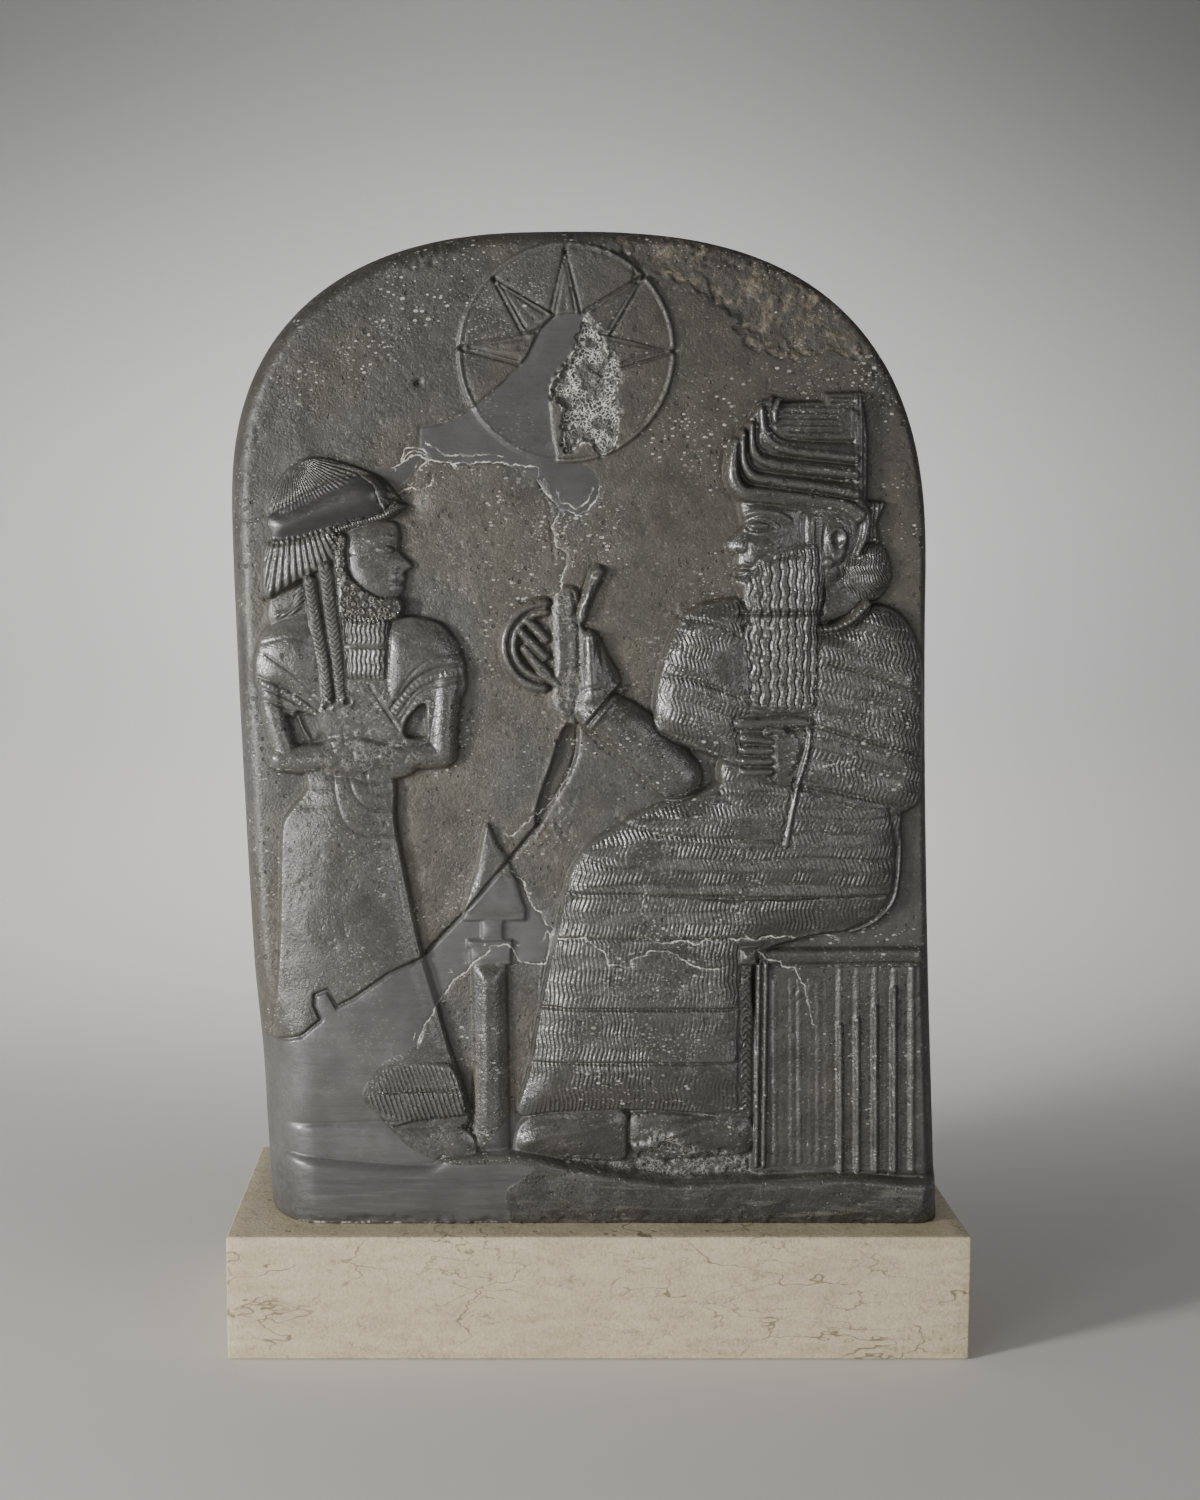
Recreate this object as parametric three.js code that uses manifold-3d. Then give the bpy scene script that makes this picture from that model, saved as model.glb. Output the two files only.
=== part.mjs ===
// A relief stele of black stone with a round top: a standing figure faces a seated one under a star disc.
// It stands on a low limestone plinth.
// Millimetres, +Z up, the carved face looks along -Y, and the origin is the middle of the plinth's underside.
import * as THREE from "three";
import Module from "manifold-3d";

const wasm = await Module();
wasm.setup();

// Driving dimensions of the stone.
const STELE_HEIGHT = 629;
const STELE_WIDTH = 456; // from the bulge on the left to the right foot
const STELE_DEPTH = 137; // from the front of the ground band to the back
const RELIEF_DEPTH = 13; // how far the field is cut back behind the ground band
const BACK_ROUNDING = 16;

// Driving dimensions of what it stands on.
const PLINTH_HEIGHT = 80;
const PLINTH_SIDE_LIP = 1; // past the widest point of the stone
const PLINTH_FRONT_LIP = 23;
const PLINTH_BACK_LIP = 30;
const PLINTH_ARRIS = 1.5;
const SEAT_GAP = 0.3;

// The carving is laid out on a drawing 456 wide and 629 high, whose sizes follow the stone's.
const ACROSS = STELE_WIDTH / 456;
const UP = STELE_HEIGHT / 629;
const PLINTH_DEPTH = PLINTH_FRONT_LIP + STELE_DEPTH + PLINTH_BACK_LIP;
const FOOT_Z = PLINTH_HEIGHT + SEAT_GAP;
const FACE_Y = -PLINTH_DEPTH / 2 + PLINTH_FRONT_LIP;
const FIELD_Y = FACE_Y + RELIEF_DEPTH;
const BACK_Y = FACE_Y + STELE_DEPTH;
const ROOT = 60; // every raised form starts this far behind the field, so it also stands on a rounded edge
const CLEAR = 6; // every cut starts this far in front of the face

// The outline of the stone on the drawing: two flared sides and an arch of two superellipse quarters.
const APEX = [-35, 629];
const LEFT = { foot: -215, spring: [-234, 455], flare: 1.3, power: 2.43 };
const RIGHT = { foot: 222, spring: [207, 400], flare: 1.5, power: 2.75 };
const SIDE_STEPS = 8;
const ARCH_STEPS = 18;
const PLINTH_WIDTH = 2 * (-LEFT.spring[0] * ACROSS + PLINTH_SIDE_LIP);

// Standing figure, from the cap down.
const CAP_DOME = [[-204, 437], [-207, 452], [-199, 474], [-183, 485], [-165, 487], [-147, 481], [-128, 468],
  [-114, 458], [-130, 450], [-163, 440]];
const CAP_BAND = [[-207, 450], [-190, 460], [-165, 472], [-146, 477], [-132, 470], [-134, 453], [-162, 446],
  [-196, 437], [-206, 440]];
const HAIR_FAN = [[-204, 435], [-164, 442], [-164, 428], [-169, 420], [-207, 401], [-208, 419]];
const STANDING_FACE = [[-159, 441], [-130, 447], [-124, 436], [-125, 430.5], [-116.5, 420.5], [-122, 416], [-121, 411],
  [-124.5, 402.5], [-124, 398.5], [-128, 392], [-140, 398], [-152, 410], [-158, 424]];
const CURLED_BEARD = [[-165, 438], [-158, 436], [-157, 422], [-150, 410], [-137, 401], [-124, 397], [-127, 387],
  [-161, 387], [-163, 410]];
const HANGING_BEARD = [[-160, 390], [-131, 390], [-132, 349], [-159, 349]];
const BRAIDS = [[[-169, 420], [-165, 385], [-162, 356], [-161, 334]], [[-179, 412], [-173, 378], [-168, 354], [-167, 333]]];
const BRAID_WIDTH = 7;
const STANDING_TORSO = [[-180, 387], [-203, 387], [-213, 375], [-216, 352], [-213, 332], [-206, 292], [-180, 288],
  [-130, 290], [-92, 295], [-87, 320], [-83, 345], [-88, 371], [-99, 387], [-131, 387]];
const ARM_GAPS = [[[-190, 330], [-192, 312], [-178, 310], [-177, 324]], [[-113, 337], [-113, 314], [-124, 313], [-123, 325]]];
const CLASPED_HANDS = [[-176, 300], [-168, 315], [-147, 319], [-120, 311], [-110, 300], [-130, 292], [-150, 287],
  [-172, 288]];
const SLEEVE_HEMS = [[[-214, 345], [-196, 341], [-178, 329]], [[-85, 352], [-106, 350], [-128, 325]]];
const SKIRT = [[-184, 292], [-185, 280], [-200, 258], [-201, 220], [-204, 155], [-210, 116], [-212, 60], [-120, 60],
  [-84, 64], [-84, 90], [-98, 122], [-113, 174], [-124, 230], [-132, 292]];
const FRINGE_PATCH = [[-149, 82], [-137, 104], [-122, 110], [-94, 104], [-86, 92], [-82, 66], [-118, 66], [-134, 62]];
const STANDING_FOOT = [[-119, 66], [-82, 66], [-70, 52], [-82, 43], [-110, 43]];

// The post between the figures: a blade on a collared shaft.
const BLADE = [[-70, 257], [-77, 228], [-85, 200], [-47, 200], [-52, 222], [-62, 245]];
const POST_PARTS = [[-85, -47, 194, 201, 0.5], [-75, -59, 183, 195, 0.4], [-81, -55, 167, 184, 0.52], [-79, -60, 42, 168, 0.6]];

// Seated figure, from the headdress down.
const HEADDRESS = [[86, 459], [79, 478], [81, 493], [88, 507], [96, 519], [109, 524], [159, 528], [164, 470],
  [164, 452], [122, 456]];
const HORNS = [[[83, 494], [81, 480], [88, 469], [122, 463], [159, 458]], [[87, 507], [86, 485], [94, 474], [122, 470], [160, 464]],
  [[91, 510], [92, 494], [101, 484], [131, 479], [158, 474]], [[97, 519], [97, 505], [106, 494], [131, 489], [156, 485]]];
const HORN_WIDTH = 5;
const HEADDRESS_BACK = [[154, 526], [163, 462]];
const SEATED_FACE = [[88, 461], [88.5, 453.5], [89.5, 446], [79, 434], [86.5, 427.5], [86, 421.5], [89, 410.5], [88, 405], [100, 400],
  [141, 404], [160, 425], [166, 446], [164, 462]];
const BEARD = [[88, 412], [106, 424], [126, 436], [140, 440], [140, 394], [137, 362], [134, 332], [98, 333],
  [93, 342], [92, 362], [90, 394]];
const BUN = { at: [166, 417], wide: 15.5, high: 17.5 };
const BUN_TIE = [[165, 460], [176, 460], [171, 446], [173, 432], [163, 432]];
const CHEST = [[92, 400], [72, 399], [55, 392], [43, 375], [35, 334], [37, 318], [60, 306], [77, 299], [77, 279],
  [95, 262], [190, 262], [203, 272], [205, 330], [203, 365], [194, 385], [180, 396], [150, 393], [136, 392]];
const LAP = [[84, 285], [37, 270], [9, 255], [-12, 236], [-22, 208], [-27, 187], [100, 186], [150, 187], [176, 195],
  [188, 210], [190, 232], [188, 285]];
const SHIN = [[-22, 209], [-27, 186], [-35, 141], [-42, 106], [-50, 70]]; // the front of the robe at each hem
const ROBE_BACK = 100;
const LAP_HEM = 214;
const FEET = [[[-52, 44], [-50, 68], [-28, 72], [18, 71], [19, 42], [-10, 38]], [[22, 70], [97, 70], [99, 43], [60, 40], [24, 44]]];
const FOREARM = [[-6, 319], [15, 342], [34, 325], [52, 312], [72, 300], [52, 279], [39, 270], [22, 286]];
const RAISED_HAND = [[-14, 324], [-13, 390], [-7, 418], [1, 419], [-6, 396], [-9, 378], [0, 374], [14, 347], [-7, 320]];
const BRACELET = [[15, 345], [-8, 319]];
const RING = { at: [-34, 371], radius: 25, thickness: 6, from: 95, to: 265 };
const GRIPPED_FINGERS = [[-52, 374], [-46, 388], [-34, 384], [-28, 360], [-32, 350], [-44, 360]];
const FIST = [[89, 325], [95, 330], [131, 329], [130, 310], [126, 293], [112, 286], [94, 296]];
const STICK = [[131, 320], [127, 290], [122, 262], [120, 241]];

// The seat: a block faced with upright ribs.
const SEAT = { left: 101, right: 214, bottom: 30, top: 177, ribs: 9, ribWidth: 5 };

// The disc over the figures, with the five points of its star that are left.
const DISC = { at: [-21, 552], radius: 67 };
const STAR = { points: 8, kept: [-2, -1, 0, 1, 2], inner: 27, tip: 64, root: 13 };

// Damage and repairs.
const ROUGH_HOLLOW = [[-10, 573], [-25, 540], [-30, 524], [-24, 515], [-20, 491], [2, 490], [10, 498], [12, 540], [-3, 565]];
const FLAKED_RIM = [[18, 640], [20, 603], [49, 597], [76, 577], [92, 557], [133, 551], [182, 545], [230, 545], [230, 640]];
const CRACK = [[-209, 117], [-189, 122], [-176, 133], [-180, 147], [-166, 141], [-132, 163], [-113, 171], [-86, 199],
  [-50, 242], [-33, 264], [-18, 292], [-16, 322]];
const OPEN_JOINT = [[-19, 323], [-13, 321], [-13, 302], [-28, 272], [-40, 254], [-31, 290]];
const GROUND_BAND = [[-214, -20], [-212, 58], [-160, 34], [-106, 31], [-57, 41], [-20, 34], [60, 26], [160, 31], [221, 30],
  [224, -20]];

const onStone = ([u, v]) => new THREE.Vector2(u * ACROSS, v * UP);

// A closed geometry whose triangles share their vertices, as a solid that can be joined and cut.
function solid(geometry) {
  return new wasm.Manifold(
    new wasm.Mesh({
      numProp: 3,
      vertProperties: new Float32Array(geometry.attributes.position.array),
      triVerts: new Uint32Array(geometry.index.array),
    }),
  );
}

function geometryOf(made) {
  const mesh = made.getMesh();
  const geometry = new THREE.BufferGeometry();
  geometry.setAttribute("position", new THREE.BufferAttribute(mesh.vertProperties, 3));
  geometry.setIndex(new THREE.BufferAttribute(mesh.triVerts, 1));
  geometry.computeVertexNormals();
  return geometry;
}

// The outline on the drawing, from the right foot over the arch to the left foot.
function stoneOutline() {
  const side = ({ foot, spring, flare }) =>
    Array.from({ length: SIDE_STEPS }, (_, i) => {
      const t = i / SIDE_STEPS;
      return [spring[0] + (foot - spring[0]) * (1 - t) ** flare, spring[1] * t];
    });
  const quarter = ({ spring, power }) =>
    Array.from({ length: ARCH_STEPS }, (_, i) => {
      const angle = (Math.PI / 2) * (i / ARCH_STEPS);
      return [
        APEX[0] + (spring[0] - APEX[0]) * Math.cos(angle) ** (2 / power),
        spring[1] + (APEX[1] - spring[1]) * Math.sin(angle) ** (2 / power),
      ];
    });
  const left = [...side(LEFT), ...quarter(LEFT)].reverse();
  return [...side(RIGHT), ...quarter(RIGHT), APEX, ...left];
}

// How wide and deep the front edge is rounded at a point of the outline: broad at the lower left, tight on the right.
function frontRounding([u, v]) {
  const leftness = THREE.MathUtils.smoothstep(-u, -150, 200);
  const lowness = 1 - THREE.MathUtils.smoothstep(v, 90, 170);
  const lowRight = (1 - leftness) * (1 - THREE.MathUtils.smoothstep(v, 10, 60));
  return {
    wide: 7 + 8 * leftness + 22 * leftness * lowness + 9 * lowRight,
    deep: 14 + 26 * leftness + 16 * leftness * lowness,
  };
}

// The outline drawn in at each point by what `insetOf` gives there, with its two feet kept on the ground.
function outlineRing(insetOf, depthOf) {
  const points = stoneOutline();
  const last = points.length - 1;
  return points.map((point, i) => {
    const at = onStone(point);
    const inset = insetOf(point);
    if (i === 0) at.x -= inset;
    else if (i === last) at.x += inset;
    else {
      const along = onStone(points[i + 1]).sub(onStone(points[i - 1])).normalize();
      at.add(new THREE.Vector2(-along.y, along.x).multiplyScalar(inset));
    }
    return new THREE.Vector3(at.x, depthOf(point), FOOT_Z + Math.max(0, at.y));
  });
}

// The stone without its carving: the outline swept from front to back over rounded edges.
function stoneBlock() {
  const front = [0, 30, 60, 90].map((degrees) => {
    const turn = THREE.MathUtils.degToRad(degrees);
    return outlineRing(
      (at) => frontRounding(at).wide * (1 - Math.sin(turn)),
      (at) => FIELD_Y + frontRounding(at).deep * (1 - Math.cos(turn)),
    );
  });
  const back = [90, 45, 0].map((degrees) => {
    const turn = THREE.MathUtils.degToRad(degrees);
    return outlineRing(
      () => BACK_ROUNDING * (1 - Math.sin(turn)),
      () => BACK_Y - BACK_ROUNDING * (1 - Math.cos(turn)),
    );
  });
  return solid(lofted([...front, ...back]));
}

// The room that the carving may fill: the block's rounded edge carried on forward past the face.
function carvingRoom() {
  const rings = [[1.1, -2], [0.75, RELIEF_DEPTH * 0.55], [0.3, RELIEF_DEPTH + 8], [-0.01, RELIEF_DEPTH + 50],
    [-0.01, STELE_DEPTH + 5]];
  return solid(
    lofted(rings.map(([share, depth]) => outlineRing((at) => frontRounding(at).wide * share, () => FACE_Y + depth))),
  );
}

// One closed body through rings of equal count, from the front ring to the back one.
function lofted(rings) {
  const count = rings[0].length;
  const positions = rings.flat().flatMap((p) => [p.x, p.y, p.z]);
  const index = [];
  for (let r = 0; r + 1 < rings.length; r++) {
    for (let i = 0; i < count; i++) {
      const j = (i + 1) % count;
      const [a, b, c, d] = [r * count + i, r * count + j, (r + 1) * count + j, (r + 1) * count + i];
      index.push(a, c, b, a, d, c);
    }
  }
  const cap = (r) => THREE.ShapeUtils.triangulateShape(rings[r].map((p) => new THREE.Vector2(p.x, p.z)), []);
  const last = rings.length - 1;
  for (const [a, b, c] of cap(0)) index.push(a, b, c);
  for (const [a, b, c] of cap(last)) index.push(last * count + a, last * count + c, last * count + b);
  const geometry = new THREE.BufferGeometry();
  geometry.setAttribute("position", new THREE.Float32BufferAttribute(positions, 3));
  geometry.setIndex(index);
  return geometry;
}

// Points of the drawing as a smooth closed line, with steps points for each one given.
function smoothed(points, steps) {
  const curve = new THREE.CatmullRomCurve3(
    points.map((p) => new THREE.Vector3(...onStone(p), 0)),
    true,
    "centripetal",
  );
  return curve.getPoints(points.length * steps).slice(0, -1).map((p) => new THREE.Vector2(p.x, p.y));
}

// How far each point of a closed line may move inwards without meeting the far side.
function roomInside(line, wanted) {
  const nearest = new THREE.Vector3();
  const side = new THREE.Line3();
  return line.map((point, i) => {
    const here = new THREE.Vector3(point.x, point.y, 0);
    let room = Infinity;
    line.forEach((start, j) => {
      const k = (j + 1) % line.length;
      if (j === i || k === i) return;
      const end = line[k];
      side.set(new THREE.Vector3(start.x, start.y, 0), new THREE.Vector3(end.x, end.y, 0));
      side.closestPointToPoint(here, true, nearest);
      room = Math.min(room, nearest.distanceTo(here));
    });
    return Math.min(wanted, 0.42 * room);
  });
}

// A closed line drawn in by a share of its bevel.
function drawnIn(line, inset, share) {
  return line.map((point, i) => {
    const before = line[(i + line.length - 1) % line.length];
    const after = line[(i + 1) % line.length];
    const one = point.clone().sub(before).normalize();
    const two = after.clone().sub(point).normalize();
    const normal = new THREE.Vector2(-one.y - two.y, one.x + two.x);
    if (normal.length() < 0.2) return point.clone();
    normal.normalize();
    const lean = Math.max(0.6, normal.x * -one.y + normal.y * one.x);
    return point.clone().addScaledVector(normal, (inset[i] * share) / lean);
  });
}

// A prism over a closed line, from depth `back` to depth `front` behind the face, with its front edge rounded.
function prism(line, back, front, bevel = 0, segments = 2) {
  const outline = THREE.ShapeUtils.isClockWise(line) ? [...line].reverse() : line;
  const inset = roomInside(outline, bevel);
  const steps = bevel > 0 ? segments : 0;
  const rings = [];
  for (let i = steps; i > 0; i--) {
    const turn = (Math.PI / 2) * (i / steps);
    rings.push([1 - Math.cos(turn), front + bevel * (1 - Math.sin(turn))]);
  }
  rings.push([0, front + bevel], [0, back]);
  return solid(
    lofted(
      rings.map(([share, depth]) =>
        drawnIn(outline, inset, share).map((p) => new THREE.Vector3(p.x, FACE_Y + depth, FOOT_Z + p.y))),
    ),
  );
}

// A form raised from the field by a share of the relief's depth, with a rounded edge.
function raised(points, share, { bevel = 3, steps = 2, segments = 2, sharp = false } = {}) {
  const line = sharp ? points.map(onStone) : smoothed(points, steps);
  return prism(line, RELIEF_DEPTH + ROOT, RELIEF_DEPTH * (1 - share), bevel, segments);
}

// A strip of one width along an open line.
function strip(points, width, steps = 3) {
  const curve = new THREE.SplineCurve(points.map(onStone));
  const middle = curve.getPoints((points.length - 1) * steps);
  const side = (sign) =>
    middle.map((p, i) => {
      const a = middle[Math.max(0, i - 1)];
      const b = middle[Math.min(middle.length - 1, i + 1)];
      const along = b.clone().sub(a).normalize();
      return new THREE.Vector2(p.x - along.y * sign * width / 2, p.y + along.x * sign * width / 2);
    });
  return [...side(1), ...side(-1).reverse()];
}

function ridge(points, width, share, bevel = 1.5) {
  return prism(strip(points, width), RELIEF_DEPTH + ROOT, RELIEF_DEPTH * (1 - share), bevel, 1);
}

// A cut along a line, from in front of the carving down to a share of the relief.
function scored(points, width, share, steps = 1) {
  return prism(strip(points, width, steps), RELIEF_DEPTH * (1 - share), -CLEAR);
}

function hollow(points, share) {
  return prism(points.map(onStone), RELIEF_DEPTH * (1 - share), -CLEAR);
}

function joined(parts) {
  return parts.reduce((sum, part) => sum.add(part));
}

function oval({ at, wide, high }, count = 20) {
  const turn = (i) => (2 * Math.PI * i) / count;
  return Array.from({ length: count }, (_, i) => [at[0] + wide * Math.cos(turn(i)), at[1] + high * Math.sin(turn(i))]);
}

function arc({ at, radius, from, to }, count = 9) {
  return Array.from({ length: count }, (_, i) => {
    const angle = THREE.MathUtils.degToRad(THREE.MathUtils.lerp(from, to, i / (count - 1)));
    return [at[0] + radius * Math.cos(angle), at[1] + radius * Math.sin(angle)];
  });
}

function standingFigure() {
  const gaps = joined(ARM_GAPS.map((gap) => hollow(gap, 0.3)));
  const forms = joined([
    raised(SKIRT, 0.72, { bevel: 6, segments: 3, steps: 1 }),
    raised(STANDING_TORSO, 0.7, { bevel: 5, segments: 3, steps: 2 }).subtract(gaps),
    raised(CLASPED_HANDS, 0.86, { bevel: 2.5, steps: 1, segments: 1 }),
    raised(STANDING_FACE, 0.5, { bevel: 2.5, steps: 2 }),
    raised(CURLED_BEARD, 0.66, { bevel: 1.8, steps: 1, segments: 1 }),
    raised(HANGING_BEARD, 0.85, { bevel: 1.5, sharp: true, segments: 1 }),
    raised(CAP_DOME, 0.62, { bevel: 4, segments: 3 }),
    raised(HAIR_FAN, 0.72, { bevel: 2, sharp: true, segments: 1 }),
    raised(CAP_BAND, 0.86, { bevel: 4, segments: 3 }),
    raised(FRINGE_PATCH, 0.84, { bevel: 1.5, steps: 1, segments: 1 }),
    raised(STANDING_FOOT, 0.7, { bevel: 3, steps: 2 }),
    ...BRAIDS.map((line) => ridge(line, BRAID_WIDTH, 0.92)),
  ]);
  const scores = [
    ...SLEEVE_HEMS.map((line) => scored(line, 1.6, 0.6, 2)),
    scored([[-144, 346], [-126, 319]], 1.6, 0.6),
    ...fanned([-176, 500], [-206, -166], 8, 437, 404),
    ...fanned([-176, 470], [-196, -130], 10, 478, 466),
  ];
  return forms.subtract(joined(scores));
}

// Fine scores that spread from a point, from one height to another.
function fanned(from, [left, right], count, top, bottom) {
  return Array.from({ length: count }, (_, i) => {
    const end = [THREE.MathUtils.lerp(left, right, i / (count - 1)), bottom];
    const t = (from[1] - top) / (from[1] - bottom);
    const start = [THREE.MathUtils.lerp(from[0], end[0], t), top];
    return scored([start, end], 1.2, 0.55);
  });
}

function post() {
  return joined([
    raised(BLADE, 0.5, { bevel: 2.5, sharp: true, segments: 1 }),
    ...POST_PARTS.map(([left, right, low, high, share]) =>
      raised([[left, low], [right, low], [right, high], [left, high]], share, { bevel: 2.5, sharp: true, segments: 2 })),
  ]);
}

function seatedFigure() {
  const beardRows = 5;
  const beardLocks = 6;
  const forms = joined([
    ...robeTiers(),
    raised(LAP, 0.86, { bevel: 6, segments: 3 }),
    raised(CHEST, 0.8, { bevel: 5, segments: 3 }),
    raised(FOREARM, 0.62, { bevel: 4, segments: 2, steps: 1 }),
    raised(RAISED_HAND, 0.5, { bevel: 2, segments: 1, steps: 1 }),
    ridge(BRACELET, 4, 0.72),
    raised(SEATED_FACE, 0.66, { bevel: 3, segments: 2, steps: 2 }),
    raised(HEADDRESS, 0.66, { bevel: 3, segments: 2, steps: 2 }),
    ...HORNS.map((line, i) => ridge(line, HORN_WIDTH, 0.9 - 0.03 * i)),
    ridge(HEADDRESS_BACK, 8, 0.72),
    raised(oval(BUN, 14), 0.6, { bevel: 3, sharp: true }),
    raised(BUN_TIE, 0.45, { bevel: 1.5, sharp: true, segments: 1 }),
    raised(BEARD, 0.98, { bevel: 2.5, sharp: true }),
    raised(FIST, 0.99, { bevel: 2.5, steps: 1 }),
    ridge(STICK, 3, 0.95, 1),
    ...FEET.map((foot) => raised(foot, 0.7, { bevel: 3, steps: 1, segments: 2 })),
    ridge(arc(RING), RING.thickness, 0.55),
    raised(GRIPPED_FINGERS, 0.5, { bevel: 2, steps: 1, segments: 1 }),
  ]);
  const scores = [
    scored([[-20, LAP_HEM], [187, LAP_HEM]], 1.8, 0.74),
    scored([[52, 389], [72, 386], [88, 378]], 1.6, 0.68),
    scored([[41, 352], [62, 347], [86, 338]], 1.6, 0.68),
    scored([[140, 361], [172, 350], [206, 339]], 1.6, 0.68),
    scored([[132, 322], [165, 311], [206, 303]], 1.6, 0.68),
    ...Array.from({ length: beardLocks }, (_, i) => {
      const u = THREE.MathUtils.lerp(97, 132, i / (beardLocks - 1));
      return scored([[u, 414], [u, 334]], 1.2, 0.88);
    }),
    ...Array.from({ length: beardRows }, (_, i) => scored([[91, 338 + 14 * i], [138, 338 + 14 * i]], 1, 0.92)),
    ...[312, 305, 298].map((v) => scored([[92, v], [108, v]], 1.4, 0.85)),
  ];
  return forms.subtract(joined(scores));
}

// The robe below the lap: bands that overhang each other a little, the lowest one set back furthest.
function robeTiers() {
  return SHIN.slice(1).map(([u, v], i) => {
    const [above, top] = SHIN[i];
    const band = [[above, top], [u, v], [ROBE_BACK, v], [ROBE_BACK, top]];
    return raised(band, 0.86 - 0.04 * i, { bevel: 3, segments: 2, sharp: true });
  });
}

function seat() {
  const { left, right, bottom, top, ribs, ribWidth } = SEAT;
  const block = raised([[left, bottom], [right, bottom], [right - 8, top], [left, top]], 0.32, { bevel: 2, sharp: true, segments: 1 });
  const pitch = (right - left - ribWidth) / ribs;
  const face = Array.from({ length: ribs }, (_, i) => {
    const u = left + ribWidth + pitch * (i + 0.5);
    return ridge([[u, bottom + 4], [u - 1, top - 8]], ribWidth, 0.56, 1.2);
  });
  const rail = raised([[left, top - 9], [right - 8, top - 9], [right - 9, top], [left, top]], 0.5, { bevel: 1.5, sharp: true, segments: 1 });
  return joined([block, rail, ...face]);
}

function starDisc() {
  const round = oval({ at: DISC.at, wide: DISC.radius, high: DISC.radius }, 44);
  const disc = raised(round, 0.16, { bevel: 1, sharp: true, segments: 1 });
  const rays = STAR.kept.map((i) => {
    const angle = Math.PI / 2 - (i * 2 * Math.PI) / STAR.points;
    const place = (radius, side) => [
      DISC.at[0] + radius * Math.cos(angle) - side * Math.sin(angle),
      DISC.at[1] + radius * Math.sin(angle) + side * Math.cos(angle),
    ];
    const line = [place(STAR.inner, STAR.root), place(STAR.inner, -STAR.root), place(STAR.tip, 0)];
    return raised(line, 0.3, { bevel: 1, sharp: true, segments: 1 });
  });
  return joined([disc, ...rays]);
}

// The stone with everything carved on it, worn and mended as it is.
function stele() {
  const carved = joined([
    stoneBlock(),
    starDisc(),
    post(),
    seat(),
    seatedFigure(),
    standingFigure(),
    raised(GROUND_BAND, 1, { bevel: 2, sharp: true, segments: 1 }),
  ]);
  const losses = joined([
    hollow(ROUGH_HOLLOW, -0.25),
    hollow(OPEN_JOINT, -0.35),
    scored(CRACK, 1.4, 0.05),
  ]);
  const flake = prism(FLAKED_RIM.map(onStone), RELIEF_DEPTH + 2, -CLEAR);
  // What reaches past the rounded edge of the stone is dressed back to it.
  return carved.intersect(carvingRoom()).subtract(losses).subtract(flake);
}

function plinthBlock() {
  const half = new THREE.Vector2(PLINTH_WIDTH / 2 - PLINTH_ARRIS, PLINTH_DEPTH / 2 - PLINTH_ARRIS);
  const shape = new THREE.Shape([
    new THREE.Vector2(-half.x, -half.y),
    new THREE.Vector2(half.x, -half.y),
    new THREE.Vector2(half.x, half.y),
    new THREE.Vector2(-half.x, half.y),
  ]);
  const geometry = new THREE.ExtrudeGeometry(shape, {
    depth: PLINTH_HEIGHT - 2 * PLINTH_ARRIS,
    bevelThickness: PLINTH_ARRIS,
    bevelSize: PLINTH_ARRIS,
    bevelSegments: 1,
  });
  return geometry.translate(0, 0, PLINTH_ARRIS);
}

function piece(name, geometry, material, z = 0) {
  const mesh = new THREE.Mesh(geometry, material);
  mesh.name = name;
  mesh.position.z = z;
  return mesh;
}

const blackStone = new THREE.MeshStandardMaterial({ color: 0x4a4844, roughness: 0.45, metalness: 0 });
const paleLimestone = new THREE.MeshStandardMaterial({ color: 0xb3a68f, roughness: 0.6, metalness: 0 });

const group = new THREE.Group();
group.add(
  piece("stele", geometryOf(stele()), blackStone),
  piece("plinth", plinthBlock(), paleLimestone),
);

export default group;
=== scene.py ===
"""Relief stele: dark stone with a carved face on a limestone plinth.

The carving is worked out as heights in millimetres over a drawing of the face, whose
origin is the middle of the foot. u runs to the right and v upwards.
"""

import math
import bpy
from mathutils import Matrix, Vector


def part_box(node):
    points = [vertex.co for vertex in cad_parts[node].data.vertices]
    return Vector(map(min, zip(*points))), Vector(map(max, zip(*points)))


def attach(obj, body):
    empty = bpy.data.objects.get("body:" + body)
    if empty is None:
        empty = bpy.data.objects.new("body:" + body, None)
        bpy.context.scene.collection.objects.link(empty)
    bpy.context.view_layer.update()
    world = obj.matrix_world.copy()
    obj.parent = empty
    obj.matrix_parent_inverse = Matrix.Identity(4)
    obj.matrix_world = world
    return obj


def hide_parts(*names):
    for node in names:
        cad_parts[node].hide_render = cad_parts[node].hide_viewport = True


bl_info = {
    "name": "Relief stele",
    "version": (1, 0, 0),
    "blender": (4, 5, 0),
    "location": "3D View > Sidebar > Stele",
    "description": "Carves the face of the stele, finishes its stone and plinth and lights them",
    "category": "Object",
}

import bmesh
import bpy
import numpy as np
from mathutils import Vector

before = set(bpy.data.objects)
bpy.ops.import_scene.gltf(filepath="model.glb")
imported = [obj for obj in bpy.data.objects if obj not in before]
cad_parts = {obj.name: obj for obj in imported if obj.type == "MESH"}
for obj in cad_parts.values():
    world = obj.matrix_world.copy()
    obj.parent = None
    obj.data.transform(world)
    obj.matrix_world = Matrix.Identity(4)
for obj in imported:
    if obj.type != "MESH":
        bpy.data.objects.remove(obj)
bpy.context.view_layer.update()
STONE_LOW, STONE_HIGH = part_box("stele")
PLINTH_LOW, PLINTH_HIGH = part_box("plinth")

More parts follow.
